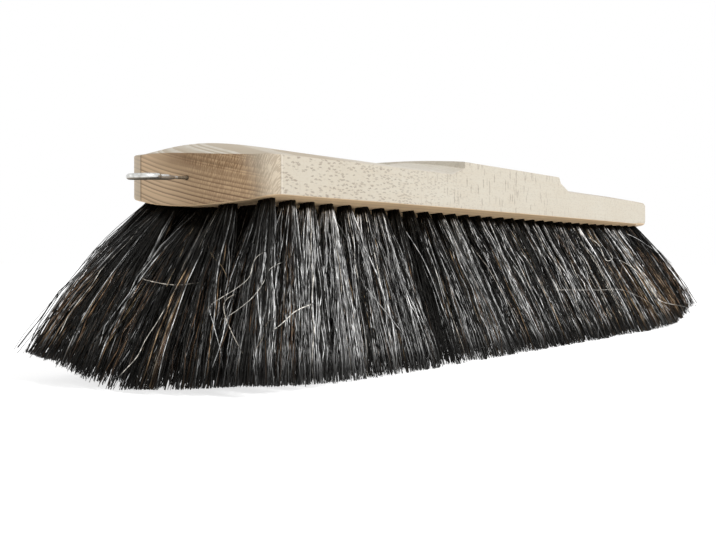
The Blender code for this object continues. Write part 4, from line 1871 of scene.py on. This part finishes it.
    def _strand_mesh(
        self, name: str, lines: Array, tones: Array, girth: float = 1.0
    ) -> bpy.types.Mesh:
        """Skin hair centre lines as thin tapered tubes.

        Args:
            name: The mesh's name.
            lines: Points (hairs, levels, 3).
            tones: One tone for each hair.
            girth: Factor on the hair's thickness.

        Returns:
            The mesh, with tone and along attributes and a bake map.
        """
        count, levels, _ = lines.shape
        sides = self.sides
        points = self._tube_points(lines, tones, girth)
        step = np.arange(sides)
        after = (step + 1) % sides
        base = (np.arange(count) * levels * sides)[:, None, None]
        ring = base + (np.arange(levels - 1) * sides)[None, :, None]
        quads = np.stack(
            [ring + step, ring + after, ring + sides + after, ring + sides + step], -1)
        ends = base[:, 0]
        caps = np.concatenate([ends + step[::-1], ends + (levels - 1) * sides + step])
        loops = np.concatenate([quads.ravel(), caps.ravel()]).astype(np.int32)
        sizes = np.repeat([4, sides], [quads.size // 4, len(caps)])
        starts = np.concatenate([[0], np.cumsum(sizes)[:-1]])
        mesh = bpy.data.meshes.new(name)
        mesh.vertices.add(len(points))
        mesh.loops.add(len(loops))
        mesh.polygons.add(len(sizes))
        mesh.vertices.foreach_set("co", points.astype(np.float32).ravel())
        mesh.loops.foreach_set("vertex_index", loops)
        mesh.polygons.foreach_set("loop_start", starts.astype(np.int32))
        mesh.update(calc_edges=True)
        mesh.shade_smooth()
        hair = np.repeat(np.arange(count), levels * sides)
        along = np.tile(np.repeat(np.linspace(0, 1, levels), sides), count)
        for title, values in (
            (self.finish.tone_name, tones[hair]), (self.finish.along_name, along)
        ):
            attribute = mesh.attributes.new(title, "FLOAT", "POINT")
            attribute.data.foreach_set("value", values.astype(np.float32))
        self._map_strands(mesh, loops, hair, along)
        return mesh

    def _tube_points(self, lines: Array, tones: Array, girth: float) -> Array:
        """Corners of the tubes round hair centre lines.

        Args:
            lines: Points (hairs, levels, 3).
            tones: One tone for each hair.
            girth: Factor on the hair's thickness.

        Returns:
            The corners (points, 3).
        """
        count, levels, _ = lines.shape
        ahead = np.gradient(lines, axis=1)
        ahead /= np.linalg.norm(ahead, axis=2, keepdims=True)
        across = np.cross(ahead, np.array([0.31, 0.95, 0.02]))
        across /= np.linalg.norm(across, axis=2, keepdims=True)
        other = np.cross(ahead, across)
        thick = girth * self.hair_radius * self.rng.uniform(*self.thick_range, count)
        far = np.clip(lines[:, 0, 0] / 0.15 + 0.2, 0.0, 1.0)
        light = tones > self.finish.soot_at
        thick *= np.where(light, self.light_girth + self.far_girth * far, self.dark_girth)
        radius = thick[:, None] * np.linspace(1.0, self.tip_taper, levels)[None, :]
        roll = self.rng.uniform(0, FULL_TURN, count)
        found = np.empty((count, levels, self.sides, 3))
        for k in range(self.sides):
            angle = (roll + FULL_TURN * k / self.sides)[:, None, None]
            off = across * np.cos(angle) + other * np.sin(angle)
            found[:, :, k] = lines + radius[..., None] * off
        found[..., 2] = np.maximum(found[..., 2], 0.0)
        return found.reshape(-1, 3)

    def _map_strands(self, mesh: bpy.types.Mesh, loops: Array, hair: Array, along: Array) -> None:
        """Give each hair a small cell of the bake map, its length running up the cell.

        Args:
            mesh: The mesh.
            loops: The point of each face corner.
            hair: The hair of each point.
            along: Each point's share of the way to the tip.
        """
        count = int(hair[-1]) + 1
        wide = math.ceil(math.sqrt(count * 2))
        high = math.ceil(count / wide)
        cell = hair[loops]
        inside = 0.15 + 0.7 * (loops % self.sides) / (self.sides - 1)
        up = 0.15 + 0.7 * along[loops]
        layer = mesh.uv_layers.new(name=BAKE_MAP)
        spots = np.stack([(cell % wide + inside) / wide, (cell // wide + up) / high], 1)
        layer.uv.foreach_set("vector", spots.astype(np.float32).ravel())


@dataclass
class Studio:
    """White surround, soft light and the photograph's camera."""

    camera_place: Place = (-0.5107, -0.2356, 0.0374)
    camera_yaw: float = math.radians(29.3)
    camera_pitch: float = math.radians(-0.5)
    focal_pixels: float = 1250.0
    photo_width: float = 716.0
    sensor: float = 36.0
    nearest: float = 0.01
    farthest: float = 60.0
    ambient: float = 0.30
    key_strength: float = 1.92
    key_way: Place = (0.05, 0.78, -0.56)
    key_angle: float = math.radians(9.0)
    fill_strength: float = 0.30
    fill_way: Place = (0.5, -0.80, -0.35)
    fill_angle: float = math.radians(40.0)
    floor_half: float = 6.0
    floor_colour: Colour = (0.86, 0.86, 0.86)
    floor_glow: float = 0.75
    floor_bounce: float = 0.45

    def build(self) -> None:
        """Make the camera, the surround, the lamps and the floor."""
        self._camera()
        self._world()
        self._sun("key_light", self.key_strength, self.key_angle, self.key_way)
        self._sun("fill_light", self.fill_strength, self.fill_angle, self.fill_way)
        self._floor()

    def _aim(self, item: bpy.types.Object, way: Vector) -> None:
        """Turn a camera or lamp to look along a direction."""
        item.rotation_mode = "QUATERNION"
        item.rotation_quaternion = way.to_track_quat("-Z", "Y")

    def _camera(self) -> None:
        """Camera at the photograph's place and angle."""
        data = bpy.data.cameras.new("photo_camera")
        data.sensor_width = self.sensor
        data.lens = self.focal_pixels / self.photo_width * self.sensor
        data.clip_start = self.nearest
        data.clip_end = self.farthest
        camera = link("photo_camera", data)
        camera.location = self.camera_place
        level = math.cos(self.camera_pitch)
        self._aim(camera, Vector((
            math.cos(self.camera_yaw) * level, math.sin(self.camera_yaw) * level,
            math.sin(self.camera_pitch))))
        bpy.context.scene.camera = camera

    def _seen(self, graph: Graph) -> Wire:
        """1 for rays from the camera, from gloss or through glass."""
        path = graph.node("LightPath")
        indirect = path["Is Glossy Ray"].at_least(path["Is Transmission Ray"])
        return path["Is Camera Ray"].at_least(indirect)

    def _world(self) -> None:
        """Even white surround that lights less than it shows."""
        world = bpy.data.worlds.new("white_surround")
        bpy.context.scene.world = world
        world.use_nodes = True
        graph = Graph(world.node_tree)
        background = graph.tree.nodes["Background"]
        graph.feed(background.inputs["Color"], (1.0, 1.0, 1.0))
        shown = self._seen(graph) * (1.0 - self.ambient) + self.ambient
        graph.feed(background.inputs["Strength"], shown)

    def _sun(self, name: str, strength: float, angle: float, way: Place) -> None:
        """Add one lamp.

        Args:
            name: The lamp's name.
            strength: Its strength.
            angle: How wide it looks.
            way: Direction that its light travels.
        """
        data = bpy.data.lights.new(name, "SUN")
        data.energy = strength
        data.angle = angle
        self._aim(link(name, data), Vector(way))

    def _floor(self) -> None:
        """Pale floor that shows white but keeps the object's shadow."""
        mesh = bpy.data.meshes.new("floor")
        half = self.floor_half
        rim = [(-half, -half, 0), (half, -half, 0), (half, half, 0), (-half, half, 0)]
        mesh.from_pydata(rim, [], [(0, 1, 2, 3)])
        material = bpy.data.materials.new("pale_floor")
        material.use_nodes = True
        graph = Graph(material.node_tree)
        nodes = graph.tree.nodes
        nodes.remove(nodes["Principled BSDF"])
        matt = graph.node("BsdfDiffuse", {"Color": self.floor_colour})
        shown = self._seen(graph) * (self.floor_glow - self.floor_bounce) + self.floor_bounce
        glow = graph.node("Emission", {"Strength": shown})
        both = graph.node("AddShader", {0: matt[0], 1: glow[0]})
        graph.feed(nodes["Material Output"].inputs["Surface"], both[0])
        mesh.materials.append(material)
        link("floor", mesh)


STRAY_UNIT = 0.0001
STRAY_HAIRS = (
    (0.97, (-2183, 6, 312), (-2197, -105, 299), (-2187, -191, 306)),
    (0.88, (-2074, -143, 427), (-2110, -178, 390), (-2147, -245, 350), (-2185, -295, 308)),
    (0.99, (-2126, -344, 374), (-2172, -356, 323), (-2202, -330, 290), (-2225, -299, 266),
     (-2245, -273, 243), (-2265, -273, 218)),
    (1.00, (-2081, -367, 346), (-2146, -386, 307), (-2222, -400, 267), (-2253, -366, 230),
     (-2278, -332, 204)),
    (0.50, (-2250, -276, 237), (-2285, -314, 191), (-2349, -388, 113)),
    (0.97, (-2232, -315, 256), (-2262, -336, 219), (-2305, -393, 168), (-2341, -450, 121)),
    (1.00, (-2036, -427, 224), (-2134, -441, 192), (-2200, -448, 172)),
    (0.99, (-2240, -124, 245), (-2287, -116, 192), (-2324, -106, 146), (-2356, -103, 102),
     (-2383, -81, 64), (-2396, -68, 45)),
    (0.92, (-2205, -439, 197), (-2250, -455, 161), (-2332, -473, 115)),
    (0.99, (349, -420, 233), (721, -425, 225), (1060, -427, 218), (1401, -455, 153),
     (1589, -489, 71)),
    (1.00, (1033, -307, 452), (1028, -353, 369), (1160, -345, 382), (1137, -322, 427)),
    (0.50, (1767, -285, 492), (2075, -337, 399), (2221, -362, 351)),
    (0.80, (1181, -346, 382), (1269, -361, 353), (1119, -396, 284), (994, -414, 246)),
    (0.98, (1417, -375, 326), (1555, -425, 221), (1649, -458, 146), (2088, -477, 100)),
)


def clear_scene() -> None:
    """Remove whatever the file opened with."""
    for item in list(bpy.data.objects):
        bpy.data.objects.remove(item, do_unlink=True)


def main() -> None:
    """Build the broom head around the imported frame."""
    logging.basicConfig(level=logging.INFO, format="%(name)s: %(message)s")
    clear_scene()
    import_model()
    bpy.context.scene.view_settings.view_transform = "Standard"
    Studio().build()
    effects = Effects()
    form = BlockForm()
    hair_form = HairForm(form)
    rows = hair_form.tufts()
    Block(form).build([tuft for bars in rows for bar in bars for tuft in bar], effects)
    ScrewEye(form).build(effects)
    HairMass(hair_form).build(rows, effects)


if __name__ == "__main__":
    main()
